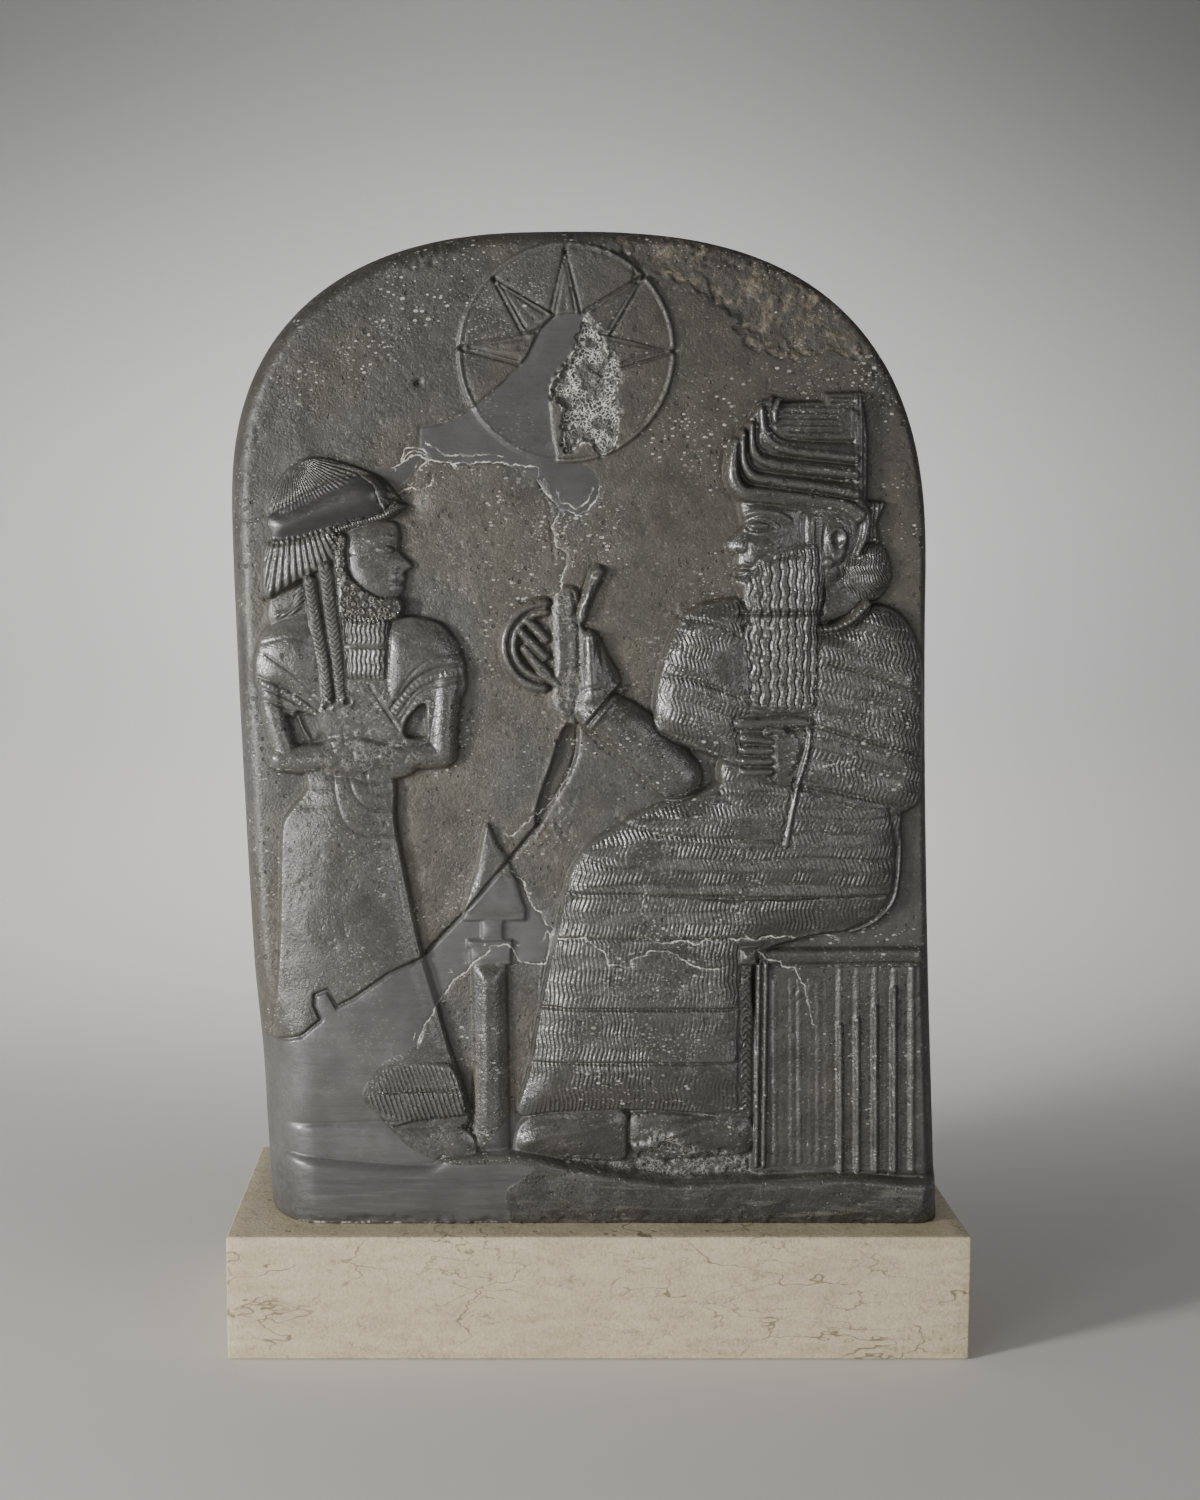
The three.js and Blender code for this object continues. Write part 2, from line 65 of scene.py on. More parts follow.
MM = 0.001
DRAWN_WIDTH = 456.0
DRAWN_HEIGHT = 629.0
ACROSS = (STONE_HIGH.x - STONE_LOW.x) / DRAWN_WIDTH
UP = (STONE_HIGH.z - STONE_LOW.z) / DRAWN_HEIGHT
FACE_DEPTH = 13.0  # from the ground band's front back to the field, in millimetres
BACK_ROUNDING = 16.0
EDGE_REACH = 6.0  # how far from the edge of a repair or a flake its map still counts, in millimetres
CRACK_REACH = 9.0  # the same for the thin white joints
PITS = 2600
FRONT_GRID = (540, 744)
BACK_GRID = (90, 124)
EDGE_STEPS = 12
SIDE_STEPS = 6
BACK_TURNS = (30, 60, 85)  # degrees at which the rounded back edge has its rings
FOCAL_LENGTH = 1991  # in the photograph's own pixels, as its height is
PHOTO_HEIGHT = 1500
LOOK_DOWN = 0.1029

# The outline of the slab: an apex, and a flared side and arch quarter on each hand.
APEX = (-35.0, 629.0)
LEFT = {"foot": -215.0, "spring": (-234.0, 455.0), "flare": 1.3, "power": 2.43}
RIGHT = {"foot": 222.0, "spring": (207.0, 400.0), "flare": 1.5, "power": 2.75}

# The disc over the figures.
DISC_AT = (-21.0, 552.0)
DISC_RADIUS = 67.5

# Repairs: smooth grey fill.
LOWER_FILL = [(-240, 117), (-209, 117), (-189, 122), (-176, 133), (-180, 141), (-180, 149), (-172, 152),
              (-166, 141), (-155, 147), (-132, 163), (-113, 171), (-86, 199), (-64, 226), (-47, 216),
              (-38, 201),
              (-26, 187), (-33, 170), (-48, 169), (-81, 165), (-100, 146), (-107, 133), (-114, 117),
              (-126, 110),
              (-138, 104), (-150, 82), (-142, 72), (-131, 60), (-118, 48), (-102, 41), (-82, 39), (-60, 40),
              (-40, 37), (-48, 29), (-58, 22), (-58, -8), (-240, -8)]
SKY_FILL = [(-112, 507), (-98, 509), (-78, 519), (-60, 534), (-46, 549), (-37, 566), (-29, 574), (-14, 576),
            (-7, 573), (-18, 552), (-30, 534), (-30, 509), (-27, 482), (-38, 473), (-49, 482), (-57, 484),
            (-98, 484), (-112, 491), (-127, 482), (-141, 480), (-148, 477), (-138, 466), (-120, 474),
            (-112, 490)]
MIDDLE_FILL = [(-30, 482), (-6, 482), (0, 469), (-6, 454), (-25, 455)]
CAP_BAND = [(-208, 450), (-196, 458), (-179, 466), (-165, 473), (-150, 477), (-138, 475), (-132, 467),
            (-136, 453), (-149, 450), (-165, 445), (-189, 438), (-203, 435), (-206, 441)]
POST_FOOT_FILL = [(-72, 47), (-62, 62), (-55, 70), (-54, 46)]
REPAIRS = [LOWER_FILL, SKY_FILL, MIDDLE_FILL, CAP_BAND, POST_FOOT_FILL]

# Losses.
DISC_BREAK = [(-10, 573), (-15, 556), (-25, 540), (-31, 532), (-30, 524), (-25, 521), (-23, 507),
              (-20, 491),
              (-9, 497), (2, 490), (9, 495), (11, 517), (9, 524), (12, 542), (3, 554), (-3, 565)]
HANDS_BREAK = [(-177, 303), (-169, 314), (-157, 319), (-146, 318), (-137, 313), (-123, 313), (-116, 306),
               (-111, 299), (-130, 293), (-149, 288), (-166, 288), (-176, 294)]
HAND_BREAK = [(-28, 402), (-18, 404), (-14, 388), (-12.5, 362), (-11, 322), (-20, 320), (-31, 330),
              (-25, 352), (-27, 380)]
RUBBLE = [(-26, 42), (-8, 44), (19, 40), (24, 52), (44, 60), (60, 50), (86, 46), (103, 44), (106, 32),
          (86, 26),
          (51, 24), (19, 28), (-4, 34)]
BAND_WEAR = [(-56, 24), (-30, 33), (19, 27), (51, 23), (86, 25), (161, 27), (206, 23), (226, 27), (226, -8),
             (-56, -8)]
RIM_FLAKE = [(17, 645), (17, 602), (27, 598), (49, 596), (65, 587), (76, 577), (85, 571), (92, 557),
             (106, 552),
             (133, 551), (172, 549), (183, 545), (215, 540), (240, 600), (120, 660)]


def smoothstep(low, high, value):
    t = np.clip((value - low) / (high - low), 0.0, 1.0)
    return t * t * (3.0 - 2.0 * t)


def soften(points, closed=True, spacing=2.5):
    """A centripetal Catmull-Rom line through given points."""
    points = np.asarray(points, float)
    if closed:
        ring = np.vstack([points[-1], points, points[0], points[1]])
    else:
        ring = np.vstack([2 * points[0] - points[1], points, 2 * points[-1] - points[-2]])
    line = []
    for a, b, c, d in zip(ring, ring[1:], ring[2:], ring[3:]):
        ta = 0.0
        tb = ta + max(1e-3, np.linalg.norm(b - a)) ** 0.5
        tc = tb + max(1e-3, np.linalg.norm(c - b)) ** 0.5
        td = tc + max(1e-3, np.linalg.norm(d - c)) ** 0.5
        count = max(1, int(np.linalg.norm(c - b) / spacing))
        for t in np.linspace(tb, tc, count, endpoint=False):
            ab = ((tb - t) * a + (t - ta) * b) / (tb - ta)
            bc = ((tc - t) * b + (t - tb) * c) / (tc - tb)
            cd = ((td - t) * c + (t - tc) * d) / (td - tc)
            abc = ((tc - t) * ab + (t - ta) * bc) / (tc - ta)
            bcd = ((td - t) * bc + (t - tb) * cd) / (td - tb)
            line.append(((tc - t) * abc + (t - tb) * bcd) / (tc - tb))
    if not closed:
        line.append(points[-1])
    return np.array(line)


def oval(at, wide, high, count=40):
    turn = np.linspace(0.0, 2 * math.pi, count, endpoint=False)
    return np.stack([at[0] + wide * np.cos(turn), at[1] + high * np.sin(turn)], axis=1)


def arc(at, radius, start, end, count=24):
    turn = np.radians(np.linspace(start, end, count))
    return np.stack([at[0] + radius * np.cos(turn), at[1] + radius * np.sin(turn)], axis=1)


class Relief:
    """Heights above the field, what the surface is made of, and its painted shade and highlights, over a
    raster of the drawing.
    """

    def __init__(self, pitch):
        self.pitch = pitch
        self.u = np.arange(-242.0, 232.0, pitch)
        self.v = np.arange(-6.0, 636.0, pitch)
        self.U, self.V = np.meshgrid(self.u, self.v)
        for field in ("height", "soil", "chalk", "strand", "row", "swing", "combed", "curled", "jointed"):
            setattr(self, field, np.zeros(self.U.shape))
        self.crack = np.full(self.U.shape, CRACK_REACH)

    def window(self, points, margin):
        low = np.min(points, axis=0) - margin
        high = np.max(points, axis=0) + margin
        columns = np.searchsorted(self.u, [low[0], high[0]])
        rows = np.searchsorted(self.v, [low[1], high[1]])
        return np.s_[rows[0]:rows[1], columns[0]:columns[1]]

    def distance(self, line, closed=True, margin=8.0):
        """(window, distance, way along, side of the line), the distance positive inside a closed line."""
        line = np.asarray(line, float)
        where = self.window(line, margin)
        U, V = self.U[where], self.V[where]
        nearest = np.full(U.shape, 1e9)
        along = np.zeros(U.shape)
        across = np.zeros(U.shape)
        inside = np.zeros(U.shape, bool)
        ends = np.roll(line, -1, axis=0) if closed else line[1:]
        gone = 0.0
        for (u0, v0), (u1, v1) in zip(line, ends):
            du, dv = u1 - u0, v1 - v0
            length = max(1e-6, math.hypot(du, dv))
            t = np.clip(((U - u0) * du + (V - v0) * dv) / length**2, 0.0, 1.0)
            gap = (U - u0 - t * du) ** 2 + (V - v0 - t * dv) ** 2
            closer = gap < nearest
            nearest = np.where(closer, gap, nearest)
            along = np.where(closer, gone + t * length, along)
            across = np.where(closer, ((U - u0) * dv - (V - v0) * du) / length, across)
            gone += length
            if closed and v0 != v1:
                crossed = (v0 > V) != (v1 > V)
                inside ^= crossed & (U < u0 + (V - v0) * du / dv)
        nearest = np.sqrt(nearest)
        return where, (np.where(inside, nearest, -nearest) if closed else nearest), along, across

    def noise(self, size, seed):
        """Smooth noise of unit spread whose lumps are about `size` millimetres across."""
        rows, columns = self.U.shape
        white = np.random.default_rng(seed).standard_normal((rows, columns))
        kv = np.fft.fftfreq(rows, self.pitch)[:, None]
        ku = np.fft.rfftfreq(columns, self.pitch)[None, :]
        lumps = np.fft.irfft2(np.fft.rfft2(white) * np.exp(-((kv**2 + ku**2) * (size * 1.6) ** 2)),
                              (rows, columns))
        return lumps / lumps.std()

    def facets(self, size, seed):
        """Broken stone: flat facets of about `size` millimetres, each tilted its own way."""
        table = np.random.default_rng(seed).random((128, 128, 5)) - 0.5
        column, row = np.floor(self.U / size).astype(int), np.floor(self.V / size).astype(int)
        nearest, height = np.full(self.U.shape, 1e9), np.zeros(self.U.shape)
        for i in (-1, 0, 1):
            for j in (-1, 0, 1):
                cell = table[(row + j) % 128, (column + i) % 128]
                du = self.U / size - (column + i + 0.5 + 0.9 * cell[..., 0])
                dv = self.V / size - (row + j + 0.5 + 0.9 * cell[..., 1])
                closer = du**2 + dv**2 < nearest
                nearest = np.where(closer, du**2 + dv**2, nearest)
                height = np.where(closer, 1.6 * cell[..., 2] + 2.6 * (cell[..., 3] * du + cell[...,
                                                                4] * dv), height)
        return height

    def blurred(self, field, size):
        rows, columns = field.shape
        kv = np.fft.fftfreq(rows, self.pitch)[:, None]
        ku = np.fft.rfftfreq(columns, self.pitch)[None, :]
        spread = np.exp(-2.0 * (math.pi * size) ** 2 * (kv**2 + ku**2))
        return np.fft.irfft2(np.fft.rfft2(field) * spread, (rows, columns))

    def form(self, points, level, edge=5.0, drop=0.4, wall=2.0, sharp=False, moat=0.0, over=0.0,
             tilt=(0.0, 0.0)):
        """Raises a closed shape to `level`, rounded over `edge` from a wall that stands at its outline."""
        line = np.asarray(points, float) if sharp else soften(points)
        where, inside, _, _ = self.distance(line, margin=6.0)
        U, V = self.U[where], self.V[where]
        middle = line.mean(axis=0)
        top = level + tilt[0] * (U - middle[0]) + tilt[1] * (V - middle[1])
        fall = (1.0 - np.clip(inside / edge, 0.0, 1.0)) ** 2
        if edge > 4:
            fall = self.blurred(fall, 0.14 * edge)
        shape = smoothstep(-wall / 2, wall / 2, inside) * (1.0 - drop * fall)
        ground = self.height[where]
        if moat:
            ground = ground - moat * np.exp(-((inside - 0.4) / 1.3) ** 2) * smoothstep(0.6, -0.4, inside)
        raised = top * shape
        if over:
            raised = np.where(inside > -wall / 2, np.maximum(raised, (ground + over) * shape), raised)
        self.put(where, ground, raised)
        return where, inside

    def put(self, where, ground, raised):
        """Sets a new shape on the ground, where it stands higher."""
        self.combed[where] *= raised < ground
        self.height[where] = np.maximum(ground, raised)

    def limb(self, points, radii, high, low=0.0, moat=0.0):
        """A rounded bar along a line, thicker or thinner by `radii` at its points."""
        line = soften(points, closed=False, spacing=2.0)
        where, gap, along, _ = self.distance(line, closed=False, margin=max(radii) + 4)
        steps = np.linspace(0.0, along.max(), len(radii))
        radius = np.interp(along, steps, radii)
        shape = np.sqrt(np.clip(1.0 - (gap / radius) ** 2, 0.0, 1.0))
        ground = self.height[where]
        if moat:
            ground = ground - moat * np.exp(-((gap - radius) / 1.2) ** 2)
        raised = np.where(shape > 0, low + (high - low) * shape, -99.0)
        self.put(where, ground, raised)

    def swell(self, at, spread, amount):
        where = self.window(np.array([at]), max(spread) * 3)
        U, V = self.U[where], self.V[where]
        self.height[where] += amount * np.exp(-(((U - at[0]) / spread[0]) ** 2)
                                              - ((V - at[1]) / spread[1]) ** 2)

    def line(self, points, width, amount, sharp=False, soil=0.0, chalk=0.0):
        """Adds a ridge along a line, or cuts a groove where the amount is negative."""
        path = np.asarray(points, float) if sharp else soften(points, closed=False)
        where, gap, _, _ = self.distance(path, closed=False, margin=width * 2.5)
        shape = np.exp(-((gap / (width * 0.5)) ** 2))
        self.height[where] += amount * shape
        # The darkening along the line is dirt in the groove and painted shade in it.
        self.soil[where] = np.maximum(self.soil[where], soil * np.exp(-((gap / (width * 0.9)) ** 2)))
        self.chalk[where] = np.maximum(self.chalk[where], chalk * shape)

    def beads(self, points, width, pitch, amount):
        path = soften(points, closed=False)
        where, gap, along, _ = self.distance(path, closed=False, margin=width * 2)
        beads = 0.5 + 0.5 * np.cos(2 * math.pi * along / pitch)
        self.height[where] += amount * np.exp(-((gap / (width * 0.5)) ** 2)) * (beads - 0.35)

    def within(self, points, blend=1.5, sharp=False):
        line = np.asarray(points, float) if sharp else soften(points)
        where, inside, _, _ = self.distance(line, margin=4.0)
        return where, smoothstep(-blend * 0.3, blend, inside)

    def comb(self, where, mask, count, depth, fullness=0.7, row=0.0, swing=0.0, fine=1):
        """Marks strands where the mask is; count goes up by one from each strand to the next.

        Strands bend by `swing` of their spacing as row goes up by one. What has a depth is also cut
        into the form, and each strand there may hold several `fine` ones.
        """
        if depth:
            strand = (0.5 - 0.5 * np.cos(2 * math.pi * count)) ** fullness
            self.height[where] -= depth * mask * (1.0 - strand)
        take = (mask >= self.combed[where]) | (self.combed[where] < 0.02)
        for field, value in ((self.strand, count * fine), (self.row, row), (self.swing, swing)):
            field[where] = np.where(take, value, field[where])
        self.combed[where] = np.maximum(self.combed[where], mask)

    def joint(self, points, strength=1.0):
        """A thin white joint or crack: the way to it, and how plainly it shows."""
        path = soften(points, closed=False)
        where, gap, _, across = self.distance(path, closed=False, margin=7)
        signed = np.where(across < 0, -gap, gap)
        self.crack[where] = np.where(gap < np.abs(self.crack[where]), signed, self.crack[where])
        self.jointed[where] = np.maximum(self.jointed[where], strength * np.exp(-((gap / 3.0) ** 2)))

    def grooved(self, points, phase, depth, fullness=0.6, blend=1.5, sharp=False, fine=1):
        """Cuts strands into a closed shape; phase(U, V) counts them."""
        line = np.asarray(points, float) if sharp else soften(points)
        where, inside, _, _ = self.distance(line, margin=4.0)
        self.comb(where, smoothstep(0.0, blend, inside), phase(self.U[where], self.V[where]), depth,
                  fullness, fine=fine)


def carve_sky(relief):
    """The disc with what is left of its star."""
    at, radius = DISC_AT, DISC_RADIUS
    relief.form(oval(at, radius, radius, 120), 1.7, edge=2.5, drop=0.2, wall=1.6, sharp=True)
    relief.line(arc(at, radius - 1.4, 0, 360, 120), 1.9, 0.8, sharp=True)
    relief.line(arc(at, radius - 3.6, 0, 360, 120), 1.8, -0.5, sharp=True)
    rays = [((-22, 614), (-31.5, 573), (-12, 573)), ((-66, 597), (-47, 562), (-28, 575)),
            ((-87, 555), (-40, 565), (-47, 544)), ((27, 599), (-10, 577), (5, 561)),
            ((46, 553), (-1, 564), (11, 542))]
    for tip, one, other in rays:
        tip, one, other = (np.array(p, float) for p in (tip, one, other))
        relief.form([tip, one, other], 2.3, edge=4, drop=-0.25, wall=1.0, sharp=True)
        heart = (tip + one + other) / 3
        for base in (one, other):
            relief.line([tip, base], 2.0, -2.2, sharp=True, soil=0.8)
            inner = tip + (heart - tip) * 0.2, base + (heart - base) * 0.34
            relief.line(inner, 1.8, -1.7, sharp=True, soil=0.7)
            relief.line([(tip + inner[0]) / 2, (base + inner[1]) / 2], 1.8, 1.3, sharp=True, chalk=0.12)
        relief.line([tip, (one + other) / 2], 2.2, -0.4, sharp=True)


def carve_standing(relief):
    """The standing figure, from its robe up to its cap."""
    skirt = [(-184, 292), (-184, 281), (-199, 260), (-201, 240), (-202, 200), (-205, 150), (-210, 110),
             (-213, 60),
             (-135, 60), (-83, 64), (-84, 82), (-96, 118), (-104, 149), (-113, 180), (-121, 220),
             (-128, 258),
             (-132, 292)]
    relief.form(skirt, 10.2, edge=36, drop=0.5, wall=3, moat=1.0)
    relief.line([(-139, 288), (-133, 250), (-126, 210), (-117, 172), (-108, 142), (-100, 118)], 4.5, -0.9)
    relief.form([(-245, 66), (-150, 65), (-118, 62), (-86, 62), (-76, 51), (-80, 38), (-105, 34),
                 (-245, 34)],
                8.8, edge=9, drop=0.3, wall=2.5)
    relief.line([(-214, 64), (-160, 65), (-126, 66)], 1.8, -1.0)
    torso = [(-172, 389), (-190, 392), (-203, 386), (-211, 379), (-216, 366), (-216, 350), (-210, 334),
             (-176, 318),
             (-160, 290), (-118, 290), (-100, 322), (-84, 342), (-84, 356), (-88, 371), (-99, 384),
             (-122, 387),
             (-131, 386)]
    relief.form(torso, 7.8, edge=10, drop=0.5, wall=2.2, moat=0.8)
    relief.form([(-174, 384), (-190, 388), (-203, 384), (-212, 374), (-216, 358), (-214, 343), (-196, 340),
                 (-178, 330), (-172, 350)], 12.0, edge=18, drop=0.6, wall=2, moat=0.8)
    relief.form([(-131, 386), (-100, 385), (-89, 371), (-84, 358), (-85, 349), (-104, 347), (-118, 338),
                 (-128, 324),
                 (-136, 340)], 10.2, edge=14, drop=0.55, wall=2, moat=0.7)
    relief.limb([(-206, 346), (-204, 325), (-197, 303)], [8.5, 8, 8], 10.2, 1)
    relief.limb([(-200, 300), (-186, 299), (-168, 301)], [9, 9.5, 8.5], 10.8, 1)
    relief.limb([(-95, 350), (-97, 325), (-98, 303)], [10, 9, 9], 9.8, 1)
    relief.limb([(-99, 302), (-112, 302), (-124, 303)], [8.5, 9, 8], 9.6, 1)
    for gap, floor in (([(-190, 330), (-192, 318), (-193, 309), (-181, 309), (-176, 313), (-177, 325)],
                        0.9),
                       ([(-109, 335), (-108, 323), (-108, 313), (-122, 314), (-122, 322), (-116, 331)],
                        1.4)):
        where, mask = relief.within(gap, 1.5)
        relief.height[where] += mask * (floor - relief.height[where])
    relief.line([(-190, 328), (-186, 318), (-182, 311)], 1.5, 2.4)
    relief.form(HANDS_BREAK, 10.2, edge=9, drop=0.5, wall=1.6)
    relief.line([(-172, 303), (-158, 313), (-142, 312), (-124, 307)], 2.6, -1.1, soil=0.5)
    for hem in ([(-215, 352), (-202, 347), (-189, 340), (-176, 330)],
                [(-214, 338), (-202, 334), (-190, 327)],
                [(-215, 346), (-202, 341), (-189, 334), (-179, 326)],
                [(-86, 359), (-101, 357), (-115, 350), (-131, 331)],
                [(-86, 348), (-101, 346), (-114, 339), (-125, 323)],
                [(-86, 351), (-101, 349), (-115, 342), (-127, 326)]):
        relief.line(hem, 1.4, -1.3, soil=0.7)
    relief.beads([(-214, 349), (-202, 344), (-189, 337), (-178, 328)], 2.6, 2.8, 1.5)
    relief.beads([(-86, 354.5), (-101, 352.5), (-115, 345.5), (-129, 328)], 3.0, 3.2, 1.5)
    for cut, width, depth in (([(-209, 366), (-190, 352), (-174, 333)], 1.4, 1.1),
                              ([(-212, 372), (-192, 376), (-180, 372)], 1.4, 0.7),
                              ([(-131, 331), (-118, 353), (-102, 364), (-87, 366)], 1.3, 0.9),
                              ([(-131, 386), (-132, 370), (-133, 350)], 1.5, 1.3),
                              ([(-167, 289), (-164, 270), (-157, 256), (-144, 251), (-127, 250)], 1.4, 1.0),
                              ([(-158, 289), (-153, 276), (-144, 268), (-128, 266)], 1.4, 0.9),
                              ([(-184, 281), (-168, 281)], 1.3, 0.8),
                              ([(-187, 269), (-166, 269)], 1.3, 0.7),
                              ([(-147, 289), (-142, 276), (-130, 277)], 1.3, 0.6)):
        relief.line(cut, width, -depth, soil=0.5)
    relief.line([(-144, 346), (-135, 332), (-126, 318)], 1.6, -1.4, soil=0.2, chalk=0.3)
    # Neck and cloth below the hair.
    relief.form([(-205, 402), (-178, 412), (-172, 386), (-186, 387), (-206, 384)], 5.2, edge=8, drop=0.4,
                wall=1.6)
    collar = [(-190, 408), (-183, 410), (-183, 398), (-190, 390), (-203, 388), (-204, 392), (-193, 396)]
    relief.form(collar, 7.0, edge=4, drop=0.4, wall=1.4)
    relief.grooved(collar, lambda U, V: (V - 0.8 * U) / 3.0, 0.9)
    # Head.
    relief.form([(-159, 442), (-146, 447), (-127, 447), (-124.5, 437), (-125.5, 430.5), (-120.5, 425),
                 (-116.5, 420.5),
                 (-122, 416), (-120.8, 412), (-123, 409.3), (-121.8, 406.5), (-124, 402.5), (-127, 396),
                 (-142, 396), (-156, 404)],
                8.0, edge=13, drop=0.6, wall=1.8, moat=0.7)
    relief.form(oval((-133.5, 430.5), 6.0, 2.8), 8.8, edge=2.6, drop=0.25, wall=1.2, over=0.7)
    relief.line([(-141, 431), (-134, 434), (-127.5, 432)], 1.4, -0.7)
    relief.line([(-140, 430), (-134, 427), (-128, 429)], 1.3, -0.6)
    relief.line([(-143, 436.5), (-134, 439), (-127, 437)], 2.6, 0.9)
    relief.line([(-129, 418.5), (-125.5, 417), (-124, 420)], 1.5, -0.9)
    relief.line([(-132, 409.4), (-127, 409.8), (-122, 409.4)], 1.3, -0.9)
    relief.line([(-131, 405.8), (-126.5, 405.4), (-123, 406.2)], 2.0, 0.5)
    curls = [(-166, 441), (-158, 440), (-157.5, 425), (-155, 415), (-148, 408), (-138, 402), (-124, 401),
             (-122, 396),
             (-127, 387), (-161, 387), (-164, 408)]
    relief.form(curls, 9.4, edge=3, drop=0.3, wall=1.4, moat=0.6)
    where, mask = relief.within(curls, 1.0)
    relief.curled[where] = np.maximum(relief.curled[where], mask)
    relief.height[where] += mask * 0.35 * relief.noise(1.6, 24)[where]
    beard = [(-160, 389), (-131, 389), (-132, 371), (-133, 349), (-159, 349), (-160, 371)]
    relief.form(beard, 10.4, edge=6, drop=0.3, wall=1.4, sharp=True, moat=0.8)

    def wave(U, V):
        return (U + 0.5 * np.sin(2 * math.pi * V / 9.0)) / 2.9

    relief.grooved([(-159.5, 389), (-131.5, 389), (-132.5, 372), (-159.5, 372)], wave, 1.0, sharp=True,
                   blend=0.8)
    relief.grooved([(-159, 369), (-133, 369), (-133.5, 350), (-158.5, 350)], wave, 0.7, sharp=True,
                   blend=0.8)
    relief.line([(-160, 370.5), (-132, 370)], 1.8, -1.2, soil=0.5)
    # Hair and the two plaits.
    crown = (-192.0, 483.0)

    def fan(U, V):
        return np.arctan2(U - crown[0], crown[1] - V) / 0.066

    relief.form([(-182, 412), (-160, 425), (-158, 345), (-171, 345), (-176, 372)], 7.4, edge=4, drop=0.3,
                wall=1.6)
    hair = [(-206, 437), (-183, 441), (-163, 445), (-164, 428), (-169, 420), (-188, 411), (-208, 400),
            (-210, 419)]
    relief.form(hair, 10.2, edge=7, drop=0.3, wall=1.6, moat=1.2)
    relief.grooved(hair, fan, 1.2, blend=0.9)
    relief.line([(-209, 400), (-188, 410), (-168, 420)], 2.2, -1.8, soil=1.0)
    for path, width in (([(-171, 419), (-167, 385), (-163.5, 356), (-162, 337)], 4.6),
                        ([(-181, 411), (-176, 380), (-171.5, 356), (-170, 336)], 4.0)):
        relief.limb(path, [width, width, width * 0.75], 10.4, 8.0, moat=0.3)
        line = soften(path, closed=False)
        where, gap, along, across = relief.distance(line, closed=False, margin=5)
        relief.comb(where, smoothstep(width - 0.2, width - 1.4, gap), (along + 0.9 * np.abs(across)) / 3.3,
                    0.7)
    relief.line([(-175.5, 414), (-171.5, 385), (-167.5, 356), (-166, 338)], 1.5, -1.6, soil=0.9)
    for curl in ((-157.5, 336.5), (-170, 333)):
        relief.line(arc(curl, 3.4, 180, 500, 20), 1.9, 1.6, sharp=True)
        relief.swell(curl, (1.2, 1.2), -1.0)
    # Cap: fluted crown, plain rolled band, hatched edge.
    dome = [(-207, 451), (-205, 463), (-199, 474), (-192, 482), (-182, 487), (-170, 487), (-159, 484),
            (-147, 480),
            (-136, 475), (-129, 468), (-124, 460.5), (-131, 451), (-145, 446), (-163, 441), (-205, 436)]
    relief.form(dome, 9.6, edge=14, drop=0.6, wall=1.8, moat=1.0)
    relief.grooved(dome, lambda U, V: np.arctan2(U + 192, 490 - V) / 0.072, 1.2, blend=1.4)
    relief.form(CAP_BAND, 12.4, edge=15, drop=0.55, wall=1.6, moat=0.9)
    fringe = [(-131, 461), (-120, 458), (-132, 450), (-147, 446), (-165, 440), (-165, 445), (-148, 450),
              (-135, 454)]
    relief.form(fringe, 7.6, edge=4, drop=0.5, wall=1.6, moat=0.4)
    relief.grooved([(-129, 463), (-119, 459), (-135, 454)], lambda U, V: (U - 0.5 * V) / 2.2, 1.1,
                   sharp=True, blend=0.5)
    relief.grooved([(-135, 454), (-119, 457), (-131, 450), (-147, 446), (-165, 440), (-165, 445),
                    (-148, 450)],
                   lambda U, V: (U + 0.35 * V) / 1.9, 1.0, sharp=True, blend=0.5)
    relief.swell((-120, 459), (10, 10), -3.6)


def carve_fringe(relief):
    """The island of fringed cloth that the lower repair leaves."""
    island = [(-150, 82), (-146, 94), (-138, 104), (-127, 109), (-110, 106), (-94, 104), (-87, 93),
              (-83, 70),
              (-104, 68), (-118, 66), (-131, 62), (-142, 72)]
    relief.form(island, 9.9, edge=6, drop=0.12, wall=1.8, sharp=True)
    relief.grooved([(-141, 86), (-136, 100), (-94, 101), (-86, 86)], lambda U, V: (U + 0.35 * V) / 2.8, 0.7)
    relief.grooved([(-148, 82), (-86, 84), (-83, 71), (-128, 67), (-141, 73)], lambda U,
                   V: (U + 0.32 * V) / 3.1, 1.0)
    relief.line([(-147, 87), (-110, 86), (-86, 87)], 1.4, -0.5)


def carve_post(relief):
    """The blade and collared post that stands between the figures."""
    relief.form([(-70, 258), (-77, 228), (-85, 200), (-62, 214), (-56, 232), (-64, 246)], 5.6, edge=6,
                drop=0.5, wall=1.8,
                moat=0.4, tilt=(-0.12, 0))
    relief.line([(-70, 256), (-77, 228), (-84, 203)], 2.0, 0.8)
    relief.form([(-85, 200), (-83, 212), (-78, 224), (-69, 237), (-60, 238), (-53, 225), (-48, 210),
                 (-46, 200)],
                5.4, edge=10, drop=0.6, wall=2, moat=0.4)
    for left, right, low, high, level in ((-86, -46, 195.5, 200.5, 6.2), (-74, -60, 183, 196, 3.6),
                                          (-83, -54, 178, 183, 6.6),
                                          (-81, -55, 167, 179, 6.0)):
        relief.form([(left, low), (right, low), (right, high), (left, high)], level,
                    edge=(right - left) / 2, drop=0.55,
                    wall=1.6, sharp=True, moat=0.3)
    relief.line([(-84, 197.5), (-48, 197.5)], 1.1, -0.5)
    relief.line([(-81, 168), (-56, 168)], 1.3, 0.6)
    relief.form([(-80, 168), (-79, 110), (-80, 44), (-56, 44), (-57, 110), (-58, 168)], 8.4, edge=12,
                drop=0.75, wall=2.2,
                sharp=True, moat=0.5)
    relief.line([(-73, 166), (-72, 110), (-73, 48)], 6, 0.6)


